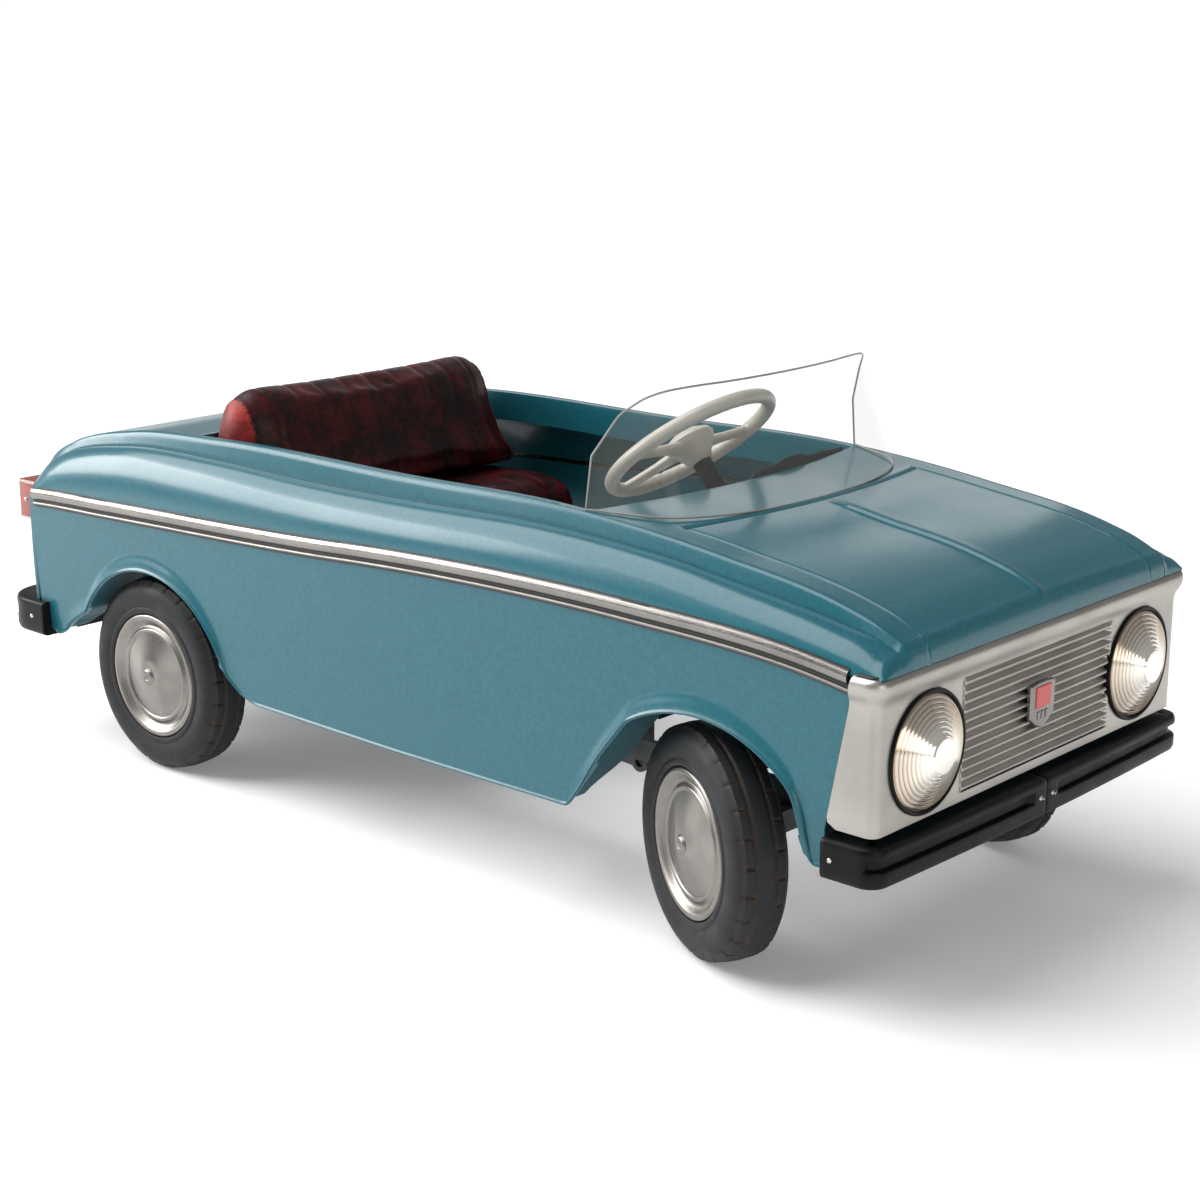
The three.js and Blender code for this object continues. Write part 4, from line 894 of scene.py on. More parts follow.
def badge():
    body = shield(0.92, GRILLE_X, GRILLE_X + 4.2, 207)
    modify(body, "BEVEL", width=0.0011, segments=3, limit_method="ANGLE")
    body.name = "badge_shield"
    soften(body, 40)
    deselect()
    bpy.ops.mesh.primitive_cube_add(size=1, location=put((GRILLE_X + 4.3, 0, 214.5)),
                                    scale=(0.0016, 0.022, 0.018))
    bpy.ops.object.transform_apply()
    field = bpy.context.object
    field.name = "badge_field"
    modify(field, "BEVEL", width=0.0006, segments=2)
    deselect()
    bars = []
    for k in range(3):
        bpy.ops.mesh.primitive_cube_add(size=1, location=put((GRILLE_X + 4.3, -6 + 6 * k, 199)),
                                        scale=(0.0016, 0.003, 0.007))
        bpy.ops.object.transform_apply()
        bars.append(bpy.context.object)
        deselect()
    ridges = joined(bars)
    ridges.name = "badge_bars"
    modify(ridges, "BEVEL", width=0.0005, segments=2)
    dress(body, "bright_trim", "body", ["badge"])
    dress(field, "badge_red", "body")
    dress(ridges, "bright_trim", "body")


class PEDALCAR_OT_front(bpy.types.Operator):
    """Builds the grille, headlamps and badge"""

    bl_idname = "pedalcar.front"
    bl_label = "Grille and Lamps"

    def execute(self, context):
        dress(grille_shell(), "brushed_sheet", "body", ["grille_shell"])
        dress(grille_ribs(), "brushed_sheet", "body", ["grille_ribs"])
        for word, side in SIDES:
            headlamp(side, word)
        badge()
        dress(bonnet_seal(), "dark_rubber_line", "body")
        return {"FINISHED"}


# ---- bumpers, trims and tail lamps ----
def bumper_section(low, height, depth):
    h = height
    return [(-depth, low), (-5, low), (-1.6, low + 1.3), (0, low + 5), (0, low + h * 0.40),
            (-0.6, low + h * 0.435),
            (-5.4, low + h * 0.47), (-5.4, low + h * 0.71), (-0.6, low + h * 0.745), (0, low + h * 0.78),
            (0, low + h - 4), (-1.4, low + h - 1), (-4.5, low + h), (-depth, low + h)]


def channel_limits(first, last):
    """Fills the section's channel outside the stretch from first to last."""
    def shape(along, out, up):
        open_here = ramp(along, first, first + 0.02) * (1 - ramp(along, last - 0.02, last))
        in_channel = (out > -5.5) & (out < -0.5) & (up > 122) & (up < 143)
        return np.where(in_channel, out * open_here, out), up
    return shape


def corner_plan(front_x, half, end_x, bow, radius, start_y):
    """Plan path of a bumper half: from the side's end round the corner to the middle."""
    face_y = np.linspace(half - radius, start_y, 40)
    face = np.column_stack((front_x - bow * (face_y / half) ** 2, -face_y))
    corner_x = face[0, 0] - radius
    corner = arc_points(corner_x, -(half - radius), radius, -90, 0, 14)
    side = np.column_stack((np.linspace(end_x, corner_x, 8), np.full(8, -half)))
    return np.vstack((side[:-1], corner[:-1], face))


def front_bumper():
    path = corner_plan(GRILLE_X + 12.4, 230.6, 482, 5, 17, 0.5)
    section = bumper_section(114, 33, 29)
    obj = swept_piece("front_bumper_right_bar", path, section, shape=channel_limits(0.16, 0.95))
    modify(obj, "BEVEL", width=0.0006, segments=2, limit_method="ANGLE")
    return soften(obj, 35)


def rear_bumper():
    half = corner_plan(-TAIL_X + 28.6, 229.5, 516, 6, 42, 0)
    path = np.vstack((half, half[:-1][::-1] * (1, -1))) * (-1, -1)
    section = bumper_section(110, 36, 24)
    obj = swept_piece("rear_bumper_bar", path, section, shape=channel_limits(0.09, 0.91))
    modify(obj, "BEVEL", width=0.0006, segments=2, limit_method="ANGLE")
    return soften(obj, 35)


def screw(name, at, direction, radius=2.3):
    """Domed cross-head screw standing out along direction."""
    head = [(0, 1.9), (radius * 0.55, 1.7), (radius * 0.9, 0.9), (radius, 0), (radius, -1), (0, -1)]
    obj = spun_piece(name, head, at, direction, 24)
    out = Vector(direction).normalized()
    side = out.orthogonal().normalized()
    deselect()
    for turn in (0, math.pi / 2):
        across = Matrix.Rotation(turn, 4, out) @ side
        basis = Matrix((across, out.cross(across), out)).transposed().to_4x4()
        bpy.ops.mesh.primitive_cube_add(size=1)
        slot = bpy.context.object
        slot.data.transform(Matrix.Translation(Vector(put(at)) + out * 0.0021) @ basis
                            @ Matrix.Diagonal((radius * 0.0013, 0.0007, 0.0016, 1)))
        cut_with(obj, slot)
    return soften(obj, 40)


def belt_trim():
    """Bright convex band between two dark lines, with a thin band under it."""
    xs = np.linspace(-527, 499, 140)
    band = [(0, 8.2), (1.5, 8.4), (1.9, 7.2), (3.4, 6.6), (4.9, 4.2), (5.4, 1.4), (4.6, -1.8),
            (2.6, -3.6), (1.7, -4.4),
            (1.5, -6.8), (2.3, -7.4), (2.8, -8.4), (2.6, -9.6), (1.8, -11.2), (0, -12)]
    loop = np.array(band + [band[0]])

    def place(u, v):
        x = xs[np.rint(u * (len(xs) - 1)).astype(int)]
        out, up = loop[np.rint(v * (len(loop) - 1)).astype(int)].T
        return x, -(BODY_HALF + 0.3 + out), belt_z(x) + up

    obj = grid_piece("belt_trim_right_strip", len(xs) - 1, len(loop) - 1, place)
    offsets = [(f.center.z * 1000 - float(belt_z((f.center.x - MIDDLE) * 1000))) for f in obj.data.polygons]
    for face, up in zip(obj.data.polygons, offsets):
        face.material_index = 0 if -3.9 < up < 6.9 else 2 if -9.8 < up < -7.2 else 1
    edit(obj, weld, close_holes, face_out)
    return soften(obj, 35)


def tail_lamp():
    xs, zs = (-584, -545), (222, 264)
    deselect()
    size = (xs[1] - xs[0], 38, zs[1] - zs[0])
    bpy.ops.mesh.primitive_cube_add(size=1, location=put((sum(xs) / 2, -184, sum(zs) / 2)),
                                    scale=[s / 1000 for s in size])
    bpy.ops.object.transform_apply()
    obj = bpy.context.object
    obj.name = "tail_lamp_right_block"
    modify(obj, "BEVEL", width=0.0022, segments=3)
    return soften(obj, 40)


def tail_lamp_frame():
    """Pale rim round the lamp's outer side and rear."""
    section = [(-1, -0.8), (0.5, -0.8), (0.5, 0.8), (-1, 0.8)]
    pieces = []
    for z in (224.2, 261.8):
        path = rounded([(-546, -203.4), (-584.4, -203.4), (-584.4, -164.8)], 40, 2)[::-1]
        ring = swept_piece("tail_lamp_right_rim", path, [(o, z + h) for o, h in section])
        pieces.append(ring)
    return soften(joined(pieces), 40)


class PEDALCAR_OT_fittings(bpy.types.Operator):
    """Builds the bumpers, the belt trims, the tail lamps and their screws"""

    bl_idname = "pedalcar.fittings"
    bl_label = "Bumpers and Trims"

    def execute(self, context):
        right = front_bumper()
        left = mirrored(right, "front_bumper_left_bar")
        dress(right, "bumper_black", "body", ["front_bumper_right"])
        dress(left, "bumper_black", "body", ["front_bumper_left"])
        dress(rear_bumper(), "bumper_black", "body", ["rear_bumper"])
        strip = belt_trim()
        dress(mirrored(strip, "belt_trim_left_strip"), ["bright_trim", "dark_rubber_line", "dull_trim"],
              "body", ["belt_trim_left"])
        dress(strip, ["bright_trim", "dark_rubber_line", "dull_trim"], "body",
              ["belt_trim_right"])
        lamp = tail_lamp()
        dress(mirrored(lamp, "tail_lamp_left_block"), "lamp_red", "body", ["tail_lamp_left"])
        dress(lamp, "lamp_red", "body", ["tail_lamp_right"])
        rim = tail_lamp_frame()
        dress(mirrored(rim, "tail_lamp_left_rim"), "ivory", "body")
        dress(rim, "ivory", "body")
        places = [("bumper_screw_middle", (GRILLE_X + 12.2, -9, 132), (1, 0, 0)),
                  ("bumper_screw_side", (491, -230.4, 131), (0, -1, 0)),
                  ("rear_bumper_screw_side", (-535, -229.3, 129), (0, -1, 0)),
                  ("tail_lamp_screw", (-572, -202.8, 243), (0, -1, 0))]
        for name, at, direction in places:
            made = screw(f"{name}_right", at, direction)
            dress(mirrored(made, f"{name}_left"), "screw_metal", "body")
            dress(made, "screw_metal", "body")
        return {"FINISHED"}


# ---- windscreen ----
SCREEN_SPANS = 160
SCREEN_SHEET = 0.0016
SCREEN_RIM_R = 0.00095
SCREEN_BASE = ((302.5, 0, 342.5), (301.5, 31, 342.8), (300, 62, 343.2), (296.5, 88, 343.8),
               (291, 112, 344.4), (284, 130, 345), (274, 150, 345.6), (262, 162, 346.2),
               (250, 168.5, 346.8), (228, 177, 347.6), (204, 186, 348.4))
SCREEN_TOP = ((262, 0, 446), (261.4, 26, 446), (260, 52, 446), (257.5, 76, 446), (254, 97, 446),
              (250.5, 114, 445.6), (246, 130, 444.6), (241.5, 142, 442.6), (235, 152, 438.5),
              (222, 165.5, 426), (205, 180, 392))


def screen_edges():
    """Even rows of points along the sheet's foot and its free edge."""
    base = rounded(np.vstack([[(x, -y, z) for x, y, z in SCREEN_BASE[:0:-1]], SCREEN_BASE]),
                   SCREEN_SPANS + 1, 6)
    top = rounded(np.vstack([[(x, -y, z) for x, y, z in SCREEN_TOP[:0:-1]], SCREEN_TOP]),
                  SCREEN_SPANS + 1, 3)
    return base, top


def screen_rim():
    """Polished edge that runs all round the clear sheet."""
    base, top = screen_edges()
    curve = bpy.data.curves.new("windscreen_rim", "CURVE")
    curve.dimensions = "3D"
    curve.bevel_depth = SCREEN_RIM_R
    curve.bevel_resolution = 2
    points = [put(p) for p in np.vstack((base, top[::-1]))]
    spline = curve.splines.new("POLY")
    spline.points.add(len(points) - 1)
    for point, at in zip(spline.points, points):
        point.co = (*at, 1)
    spline.use_cyclic_u = True
    obj = bpy.data.objects.new("windscreen_rim", curve)
    bpy.context.scene.collection.objects.link(obj)
    take(obj)
    bpy.ops.object.convert(target="MESH")
    return soften(bpy.context.object, 60)


def windscreen():
    base, top = screen_edges()

    def place(u, v):
        i = np.rint(u * SCREEN_SPANS).astype(int)
        p = base[i] * (1 - v[:, None]) + top[i] * v[:, None]
        return p[:, 0], p[:, 1], p[:, 2]

    obj = grid_piece("windscreen_sheet", SCREEN_SPANS, 24, place)
    edit(obj, face_out)
    modify(obj, "SOLIDIFY", thickness=SCREEN_SHEET, offset=0, material_offset_rim=1)
    return soften(obj, 40)


class PEDALCAR_OT_windscreen(bpy.types.Operator):
    """Builds the bent clear windscreen"""

    bl_idname = "pedalcar.windscreen"
    bl_label = "Windscreen"

    def execute(self, context):
        dress(windscreen(), ["clear_sheet", "clear_edge"], "body", ["windscreen"])
        dress(screen_rim(), "clear_edge", "body")
        return {"FINISHED"}


# ---- seat ----
SEAT_HALF = 173
SEAT_SHIFT = -3
BACK_OUTLINE = ((-292, 278), (-297, 300), (-298, 330), (-296.5, 368), (-290, 386), (-273, 395),
                (-257, 388), (-246, 370), (-237, 336), (-226, 310), (-210, 288), (-198, 276))
BASE_OUTLINE = ((-290, 226), (-294, 262), (-270, 268), (-210, 271), (-160, 272), (-134, 269),
                (-119, 258), (-115, 242), (-120, 227), (-160, 223), (-230, 223))


def cushion_form(name, outline, half, shrink, rounding, crown):
    """Closed cushion swept across the car, smaller by shrink so that it can swell."""
    loop = rounded(np.vstack((outline, outline[:1])), 73, 2)[:-1]
    centre = loop.mean(0)
    loop = centre + (loop - centre) * shrink
    ys = np.concatenate((-half + 16 * (1 - np.cos(np.linspace(0, np.pi / 2, 7))),
                         np.linspace(-half + 22, half - 22, 60),
                         half - 16 * (1 - np.cos(np.linspace(np.pi / 2, 0, 7)))))

    def place(u, v):
        i = np.rint(u * (len(ys) - 1)).astype(int)
        j = np.rint(v * len(loop)).astype(int) % len(loop)
        end = np.clip((np.abs(ys[i]) - half + 16) / 16, 0, 1)
        k = 1 - 0.22 * (1 - np.sqrt(np.clip(1 - end**2, 0, 1)))
        p = centre + (loop[j] - centre) * k[:, None]
        corner = np.clip((np.abs(ys[i]) - half + rounding) / rounding, 0, 1)
        high = ramp(p[:, 1], centre[1] - 10, centre[1] + 50)
        sag = rounding * (1 - np.sqrt(np.clip(1 - (0.93 * corner) ** 2, 0,
                                              1))) - crown * (1 - (ys[i] / half) ** 2)
        return p[:, 0], ys[i] + SEAT_SHIFT, p[:, 1] - high * sag

    return edit(grid_piece(name, len(ys) - 1, len(loop), place), weld, close_holes, face_out)


def swell(obj, cap, pressure=4.0):
    """Lets cloth fill the cushion, with each point's travel capped, and keeps the result."""
    modify(obj, "REMESH", mode="VOXEL", voxel_size=0.005)
    start = points_of(obj)
    take(obj)
    cloth = obj.modifiers.new("Cloth", "CLOTH")
    cloth.settings.use_pressure = True
    cloth.settings.uniform_pressure_force = pressure
    cloth.settings.effector_weights.gravity = 0
    cloth.point_cache.frame_start = 1
    cloth.point_cache.frame_end = 20
    scene = bpy.context.scene
    for step in range(1, 21):
        scene.frame_set(step)
    bpy.ops.object.modifier_apply(modifier="Cloth")
    scene.frame_set(1)
    travel = points_of(obj) - start
    length = np.linalg.norm(travel, axis=1)
    limit = cap / 1000
    eased = limit * np.tanh(length / limit)
    write_points(obj, start + travel * (eased / np.maximum(length, 1e-9))[:, None])
    modify(obj, "SUBSURF", levels=1, render_levels=1)


def sew_channels(obj, pitch, first, last, depth, normal_of):
    """Presses sewn channels across the cushion at even steps, and piping lines near its ends."""
    co = points_of(obj)
    y = co[:, 1] * 1000 - SEAT_SHIFT
    lines = np.arange(first, last + 1, pitch)
    nearest = np.min(np.abs(y[:, None] - lines[None, :]), axis=1)
    press = dent(nearest, 2.6) * depth / 1000
    piping = dent(np.abs(y) - (SEAT_HALF - 17), 1.7) * 1.6 / 1000
    out = normal_of(co)
    weight = np.clip(1 - (np.abs(y) - last) / 3, 0, 1)
    write_points(obj, co - out * (press * weight - piping)[:, None])


def vertex_normals(obj):
    data = np.empty(len(obj.data.vertices) * 3)
    obj.data.vertices.foreach_get("normal", data)
    return data.reshape(-1, 3)


def seat_cushion(name, outline, node, cap, limits, rounding=8, crown=0):
    obj = cushion_form(name, outline, SEAT_HALF - 3, 0.93, rounding, crown)
    swell(obj, cap)
    co = points_of(obj)
    low, high = (np.array(put(p)) for p in limits)
    write_points(obj, np.clip(co, low, high))
    normals = vertex_normals(obj)
    sew_channels(obj, 33, -132, 132, 1.1, lambda _: normals)
    modify(obj, "SMOOTH", factor=0.35, iterations=2)
    for face in obj.data.polygons:
        # Faces near the cushion ends take the brighter copy of the leather, as painted highlight.
        face.material_index = 1 if abs(face.center.y * 1000 - SEAT_SHIFT) > SEAT_HALF - 16 else 0
    soften(obj, 60)
    dress(obj, ["seat_leather", "seat_end_highlight_leather"], "body", [node])


class PEDALCAR_OT_seat(bpy.types.Operator):
    """Builds the padded seat back and base with their sewn channels"""

    bl_idname = "pedalcar.seat"
    bl_label = "Seat"

    def execute(self, context):
        seat_cushion("seat_back_cushion", BACK_OUTLINE, "seat_back", 7,
                     ((-300, -179, 274), (-194, 176, 402)), 38, 4)
        seat_cushion("seat_base_cushion", BASE_OUTLINE, "seat_base", 5,
                     ((-298, -178, 220), (-108, 175, 276)))
        return {"FINISHED"}


# ---- hand wheel and dash ----
WHEEL_TILT = math.radians(51.5)
WHEEL_AT = (160, 0, 370)


def wheel_frame():
    """Matrix from the hand wheel's own axes (X up its face, Z towards the driver) to the frame."""
    up = Vector((-math.cos(WHEEL_TILT), 0, math.sin(WHEEL_TILT)))
    forward = Vector((math.sin(WHEEL_TILT), 0, math.cos(WHEEL_TILT)))
    left = up.cross(forward)
    turn = Matrix((forward, left, up)).transposed().to_4x4()
    return Matrix.Translation(Vector(put(WHEEL_AT))) @ turn


def hand_wheel():
    deselect()
    bpy.ops.mesh.primitive_torus_add(major_segments=144, minor_segments=24, major_radius=0.0785,
                                     minor_radius=0.0066)
    rim = bpy.context.object
    co = points_of(rim)
    angle = np.arctan2(co[:, 1], co[:, 0])
    ring = np.column_stack((np.cos(angle), np.sin(angle), np.zeros(len(angle)))) * 0.0785
    inside = np.hypot(co[:, 0], co[:, 1]) < 0.0785
    grip = 1 - 0.14 * inside * (0.5 + 0.5 * np.cos(angle * 48)) ** 2
    write_points(rim, ring + (co - ring) * grip[:, None])
    pieces = [rim]
    for degrees in (90, -90, 195):
        pieces.append(wheel_arm(math.radians(degrees)))
    hub = [(0, -20), (9, -20), (11, -19), (14, -13), (20, -5), (23, 0), (23.5, 3), (21, 6.5), (15, 9.5),
           (10.5, 11),
           (10, 13), (8, 14.2), (0, 14.6)]
    middle = spun_piece("hub", hub, (-MIDDLE * 1000, 0, 0), (0, 0, 1), 64)
    obj = joined(pieces + [middle])
    obj.name = "hand_wheel_moulding"
    obj.data.transform(wheel_frame())
    return soften(obj, 40)


def wheel_arm(angle):
    """Tapered arm, wide and flat at the hub and round where it runs into the rim."""
    def place(u, v):
        along = 12 + 64 * u
        around = v * math.tau
        wide = 9 - 3.4 * ramp(u, 0, 0.6) + 2.4 * ramp(u, 0.8, 1)
        thick = 5.4 - 1.2 * ramp(u, 0, 0.5)
        side = np.cos(around) * wide
        up = np.sin(around) * thick - 3 * (1 - u) + 1
        x = along * math.cos(angle) - side * math.sin(angle)
        y = along * math.sin(angle) + side * math.cos(angle)
        return x - MIDDLE * 1000, y, up

    return edit(grid_piece("arm", 24, 24, place), weld, close_holes, face_out)


def dash_trim():
    """Rough padded strip behind the dash lip: low on the driver's side, standing proud on the other."""
    ys = np.linspace(-150, 166, 110)
    section = np.array([(0, 0), (0.4, 0.45), (0, 0.86), (-3, 1), (-6.5, 0.95), (-8.4, 0.75), (-8, 0.35),
                        (-5, 0.05)])
    loop = np.vstack((section, section[:1]))

    def place(u, v):
        y = ys[np.rint(u * (len(ys) - 1)).astype(int)]
        out, part = loop[np.rint(v * len(section)).astype(int)].T
        wave = 0.5 * np.sin(y * 0.9) + 0.5 * np.sin(y * 2.3 + part * 9)
        bulge = 7 + 4 * ramp(y, 36, 60) * (1 - ramp(y, 82, 104))
        proud = ramp(y, 4, 20) * bulge * (1 - 0.5 * ramp(y, 120, 166))
        top = DASH_LIP_Z + proud
        x = COCKPIT_X[1] + DASH_BOW * (1 - (y / COCKPIT_Y) ** 2) - 2.4 + out * (1 + 0.06 * wave)
        return x, y, DASH_FOOT_Z + (top - DASH_FOOT_Z) * part + 0.5 * wave * part

    return soften(edit(grid_piece("dash_trim_strip", len(ys) - 1, len(section), place), weld, close_holes,
                       face_out), 50)


class PEDALCAR_OT_cockpit(bpy.types.Operator):
    """Builds the hand wheel and the padded strip under the dash"""

    bl_idname = "pedalcar.cockpit"
    bl_label = "Hand Wheel and Dash"

    def execute(self, context):
        dress(hand_wheel(), "ivory", "steering", ["steering_wheel"])
        dress(dash_trim(), "trim_foam", "body", ["dash_trim"])
        return {"FINISHED"}


# ---- wheels ----
TYRE_R = 97.5
TYRE_WIDTH = 50
TREAD_BLOCKS = 26


def tyre_section():
    """Tyre section as (radius, depth from the outer face)."""
    half = [(62.6, 4.4), (63.6, 2.0), (66, 1.0), (68.4, 1.1), (69.6, 2.0), (72, 1.2), (77, 0.2),
            (82, 0.3), (87, 1.6),
            (91, 4.0), (93.6, 6.4)]
    crown = [(TYRE_R - 0.045 * (d - 25) ** 2 / 7.5, d) for d in np.arange(8, 42.1, 1.0)]
    other = [(r, TYRE_WIDTH - d) for r, d in half[::-1]]
    return np.array(half + crown + other + [half[0]])


def tread_depth(depth, angle):
    """Grooves of the tread: two lines round it and cross cuts between the shoulder blocks."""
    from_middle = np.abs(depth - 25)
    line = np.maximum(dent(from_middle - 8.5, 1.1), 0.7 * dent(from_middle - 19.5, 0.9))
    block = (angle / math.tau * TREAD_BLOCKS + 0.5 * (depth > 25)) % 1.0
    cross = dent(np.minimum(block, 1 - block) * math.tau * TYRE_R / TREAD_BLOCKS, 1.3)
    cross = cross * ramp(from_middle, 8, 9) * (1 - ramp(from_middle, 19.5, 21))
    return np.maximum(line, cross)


def tyre():
    """Tyre on the right side at the rear axle."""
    section = tyre_section()
    around = TREAD_BLOCKS * 12

    def place(u, v):
        angle = u * math.tau
        radius, depth = section[np.rint(v * (len(section) - 1)).astype(int)].T
        on_tread = ramp(radius, 90.5, 92.5)
        radius = radius - 2.0 * tread_depth(depth, angle) * on_tread
        return -HALF_BASE + radius * np.sin(angle), -216 + depth, AXLE_Z + radius * np.cos(angle)

    obj = grid_piece("rear_tyre_right_rubber", around, len(section) - 1, place)
    edit(obj, weld, face_out)
    co = points_of(obj) * 1000
    x, z = co[:, 0] - MIDDLE * 1000 + HALF_BASE, co[:, 2] - AXLE_Z
    radius, depth = np.hypot(x, z), co[:, 1] + 216
    dirt = tread_depth(depth, np.arctan2(x, z) % math.tau) * ramp(radius, 88, 91)
    dirt = np.maximum(dirt, 0.45 * dent(radius - 63.4, 1.6))
    obj.data.attributes.new("groove", "FLOAT", "POINT").data.foreach_set("value", dirt.astype(np.float32))
    return soften(obj, 35)


DISC_PROFILE = ((62.8, 5.5), (62.4, 3.2), (61.4, 1.8), (59.6, 1.2), (57.4, 2.0), (54.8, 4.4),
                (52.4, 6.6), (50.2, 7.4), (48.6, 6.8), (47.4, 4.9), (46.4, 3.9), (45.0, 3.7),
                (43.6, 4.5), (42.8, 5.3), (41.6, 5.0), (30, 1.9), (18, -1.2), (10.4, -3.2),
                (8.4, -3.0), (7.6, -4.2), (6.0, -5.4), (4.4, -5.6), (3.2, -4.9), (2.0, -4.2),
                (0, -4.0))


def round_map(obj, centre):
    """UV map whose U runs round the axle and V along the radius."""
    mesh = obj.data
    layer = mesh.uv_layers.new(name="round")
    cx, cz = put((centre, 0, 0))[0], AXLE_Z / 1000
    for face in mesh.polygons:
        middle = math.atan2(face.center.x - cx, face.center.z - cz)
        for loop in face.loop_indices:
            p = mesh.vertices[mesh.loops[loop].vertex_index].co
            angle = math.atan2(p.x - cx, p.z - cz)
            radius = math.hypot(p.x - cx, p.z - cz)
            if radius < 1e-5:
                angle = middle
            while angle - middle > math.pi:
                angle -= math.tau
            while angle - middle < -math.pi:
                angle += math.tau
            layer.data[loop].uv = (angle / math.tau, radius)


def wheel_disc():
    centre = (-HALF_BASE, -216, AXLE_Z)
    back = [(0, 12), (40, 10), (60, 9), (62.8, 8)]
    profile = back + list(DISC_PROFILE)
    obj = spun_piece("rear_disc_right_pressing", [(r, d) for r, d in profile], centre, (0, 1, 0), 128)
    round_map(obj, -HALF_BASE)
    return soften(obj, 40)


def wheel_back():
    """Hub tube and back plate seen from inside the car."""
    centre = (-HALF_BASE, -216, AXLE_Z)
    profile = [(6.5, 12.5), (56, 11), (60, 13), (62, 20), (62.2, 36), (60.6, 36), (60, 22), (56, 15),
               (14, 17), (13, 34), (6.5, 34), (6.5, 12.5)]
    return soften(spun_piece("rear_hub_right_plate", profile, centre, (0, 1, 0), 64), 40)


class PEDALCAR_OT_wheels(bpy.types.Operator):
    """Builds the four wheels: tyre, pressed disc with its hub, and back plate"""

    bl_idname = "pedalcar.wheels"
    bl_label = "Wheels"

    def execute(self, context):
        masters = ((tyre(), "tyre", "rubber", "tyre_rubber", "tyre"),
                   (wheel_disc(), "disc", "pressing", "turned_metal", "bright"),
                   (wheel_back(), "hub", "plate", "dark_steel", "steel"))
        ahead = Matrix.Translation((2 * HALF_BASE / 1000, 0, 0))
        stand_ins = {"tyre": ["tyre"], "disc": ["disc", "hub_nut"], "hub": []}
        for master, part, kind, finish, slot in masters:
            for word, side in SIDES:
                pivot = Vector((FRONT_AXLE.x, side * KINGPIN_Y / 1000, 0))
                steer = Matrix.Translation(pivot) @ Matrix.Rotation(math.radians(STEER_DEG), 4,
                                                                    "Z") @ Matrix.Translation(-pivot)
                flip = Matrix.Identity(4) if side < 0 else Matrix.Scale(-1, 4, (0, 1, 0))
                front = moved_copy(master, f"front_{part}_{word}_{kind}", steer @ ahead @ flip)
                covered = [f"front_{name}_{word}" for name in stand_ins[part]]
                dress(front, finish, f"front_wheel_{word}", covered)
            left = mirrored(master, f"rear_{part}_left_{kind}")
            dress(left, finish, "rear_axle", [f"rear_{name}_left" for name in stand_ins[part]])
            dress(master, finish, "rear_axle", [f"rear_{name}_right" for name in stand_ins[part]])
        return {"FINISHED"}


# ---- frame parts that stay ----
class PEDALCAR_OT_chassis(bpy.types.Operator):
    """Gives the frame's own chassis, drive and steering parts their finishes"""

    bl_idname = "pedalcar.chassis"
    bl_label = "Chassis and Drive"

    def execute(self, context):
        for name, obj in frame["nodes"].items():
            if obj.hide_render:
                continue
            finish = "bumper_black" if name.startswith(("pedal_pad", "steering_column")) else "dark_steel"
            for material_slot in obj.material_slots:
                material_slot.material = FINISHES[finish]
        return {"FINISHED"}


# ---- stage ----
CAMERA_AT = (1.4573, -1.5292, 0.7628)
CAMERA_YAW = 132.047
CAMERA_PITCH = -15.107
CAMERA_ROLL = 0.069
CAMERA_LENS = 68.43


def aim(obj, at, target):
    obj.location = at
    obj.rotation_euler = (Vector(target) - Vector(at)).to_track_quat("-Z", "Y").to_euler()


def soft_light(name, at, target, size, power, colour=(1, 1, 1)):
    light = bpy.data.lights.new(name, "AREA")
    light.shape = "RECTANGLE"
    light.size, light.size_y = size
    light.energy = power
    light.color = colour
    obj = bpy.data.objects.new(name, light)
    bpy.context.scene.collection.objects.link(obj)
    aim(obj, at, target)
    return obj


def studio_backdrop(scene):
    """Even white light from all round, weaker than the lamps."""
    world = scene.world or bpy.data.worlds.new("studio")
    scene.world = world
    world.use_nodes = True
    background = world.node_tree.nodes["Background"]
    background.inputs["Color"].default_value = (1, 1, 1, 1)
    background.inputs["Strength"].default_value = 0.28


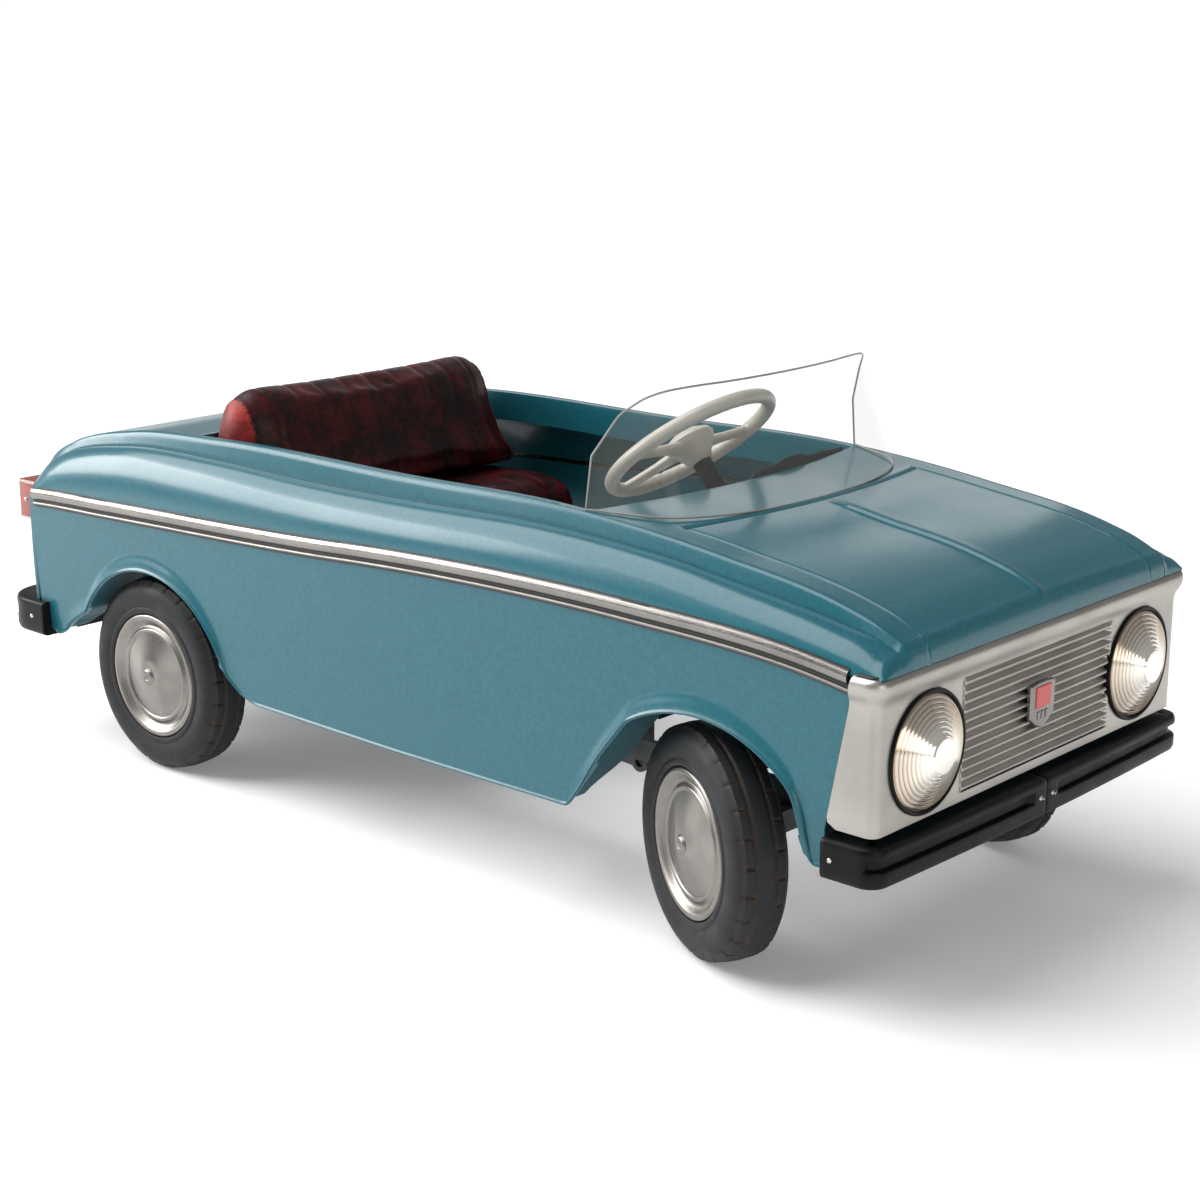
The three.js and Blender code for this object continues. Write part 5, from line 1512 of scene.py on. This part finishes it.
class PEDALCAR_OT_stage(bpy.types.Operator):
    """Makes the pale floor, the soft studio lights and the camera"""

    bl_idname = "pedalcar.stage"
    bl_label = "Stage"

    def execute(self, context):
        deselect()
        bpy.ops.mesh.primitive_plane_add(size=400, location=(0, 0, -0.0006))
        floor = bpy.context.object
        floor.name = "studio_floor"
        f = Finish("floor_white", Base_Color=(0.93, 0.93, 0.93, 1), Roughness=0.9,
                   Emission_Color=(1, 1, 1, 1), Emission_Strength=0.16)
        floor.data.materials.append(f.material)
        scene = context.scene
        scene.view_settings.view_transform = "Standard"
        studio_backdrop(scene)
        sun = bpy.data.lights.new("broad_sun", "SUN")
        sun.energy = 2.8
        sun.angle = math.radians(58)
        sun_rig = bpy.data.objects.new("broad_sun", sun)
        scene.collection.objects.link(sun_rig)
        aim(sun_rig, (-0.5, -0.3, 0.8), (0, 0, 0))
        soft_light("side_panel_light", (-3.1, -1.9, 1.45), (0, -0.1, 0.25), (2.4, 1.3), 84)
        soft_light("front", (3.0, -1.2, 1.0), (0.4, 0, 0.2), (1.4, 1.2), 13, (1, 0.93, 0.84))
        soft_light("far_side_strip", (-2.4, 2.9, 1.75), (0.2, 0, 0.3), (3.0, 0.7), 9)
        camera = bpy.data.cameras.new("camera")
        camera.lens = CAMERA_LENS
        camera.sensor_width = 36
        camera.clip_start = 0.05
        rig = bpy.data.objects.new("camera", camera)
        scene.collection.objects.link(rig)
        rig.location = CAMERA_AT
        yaw, pitch, roll = (math.radians(a) for a in (CAMERA_YAW, CAMERA_PITCH, CAMERA_ROLL))
        look = Vector((math.cos(yaw) * math.cos(pitch), math.sin(yaw) * math.cos(pitch), math.sin(pitch)))
        turn = look.to_track_quat("-Z", "Y").to_matrix() @ Matrix.Rotation(roll, 3, "Z")
        rig.rotation_euler = turn.to_euler()
        scene.camera = rig
        return {"FINISHED"}


# ---- settings, panel and registration ----
class PedalCarColours(bpy.types.PropertyGroup):
    """Colours of the main finishes"""

    body_paint: bpy.props.FloatVectorProperty(
        name="Body Paint", description="Enamel on the outside of the body", subtype="COLOR", size=3,
        default=(0.009, 0.116, 0.152), min=0, max=1)
    # Inside paint darkened well below its blue: partly its own colour, partly painted shade.
    inner_paint_and_shade: bpy.props.FloatVectorProperty(
        name="Inner Paint", description="Paint on the inside of the body", subtype="COLOR", size=3,
        default=(0.006, 0.05, 0.11), min=0, max=1)
    bright_metal: bpy.props.FloatVectorProperty(
        name="Bright Metal", description="Brushed metal of the grille and trims", subtype="COLOR", size=3,
        default=(0.60, 0.57, 0.53), min=0, max=1)
    seat_deep: bpy.props.FloatVectorProperty(
        name="Seat Dark", description="Dark patches of the seat covering", subtype="COLOR", size=3,
        default=(0.012, 0.0022, 0.0028), min=0, max=1)
    seat_bright: bpy.props.FloatVectorProperty(
        name="Seat Bright", description="Bright patches of the seat covering", subtype="COLOR", size=3,
        default=(0.085, 0.006, 0.007), min=0, max=1)
    hand_wheel: bpy.props.FloatVectorProperty(
        name="Hand Wheel", description="Moulded plastic of the hand wheel", subtype="COLOR", size=3,
        default=(0.56, 0.53, 0.46), min=0, max=1)
    lamp_red: bpy.props.FloatVectorProperty(
        name="Tail Lamp", description="Plastic of the tail lamps", subtype="COLOR", size=3,
        default=(0.30, 0.035, 0.02), min=0, max=1)


STEPS = (PEDALCAR_OT_body, PEDALCAR_OT_front, PEDALCAR_OT_fittings, PEDALCAR_OT_windscreen,
         PEDALCAR_OT_seat, PEDALCAR_OT_cockpit, PEDALCAR_OT_wheels, PEDALCAR_OT_chassis,
         PEDALCAR_OT_stage)


class PEDALCAR_OT_finishes(bpy.types.Operator):
    """Makes the materials from the colours in the panel"""

    bl_idname = "pedalcar.finishes"
    bl_label = "Finishes"

    def execute(self, context):
        make_finishes(context.scene.pedal_car_colours)
        return {"FINISHED"}


class PEDALCAR_PT_panel(bpy.types.Panel):
    """Lists the car's colours and building steps"""

    bl_idname = "PEDALCAR_PT_panel"
    bl_label = "Pedal Car"
    bl_space_type = "VIEW_3D"
    bl_region_type = "UI"
    bl_category = "Pedal Car"

    def draw(self, context):
        column = self.layout.column()
        colours = context.scene.pedal_car_colours
        for name in PedalCarColours.__annotations__:
            column.prop(colours, name)
        column.operator(PEDALCAR_OT_finishes.bl_idname)
        for step in STEPS:
            column.operator(step.bl_idname)


CLASSES = (PedalCarColours, PEDALCAR_OT_finishes, *STEPS, PEDALCAR_PT_panel)


def register():
    for cls in CLASSES:
        bpy.utils.register_class(cls)
    bpy.types.Scene.pedal_car_colours = bpy.props.PointerProperty(type=PedalCarColours)


def unregister():
    del bpy.types.Scene.pedal_car_colours
    for cls in reversed(CLASSES):
        bpy.utils.unregister_class(cls)


def main():
    register()
    bpy.ops.pedalcar.finishes()
    for step in STEPS:
        group, call = step.bl_idname.split(".")
        getattr(getattr(bpy.ops, group), call)()


if __name__ == "__main__":
    main()
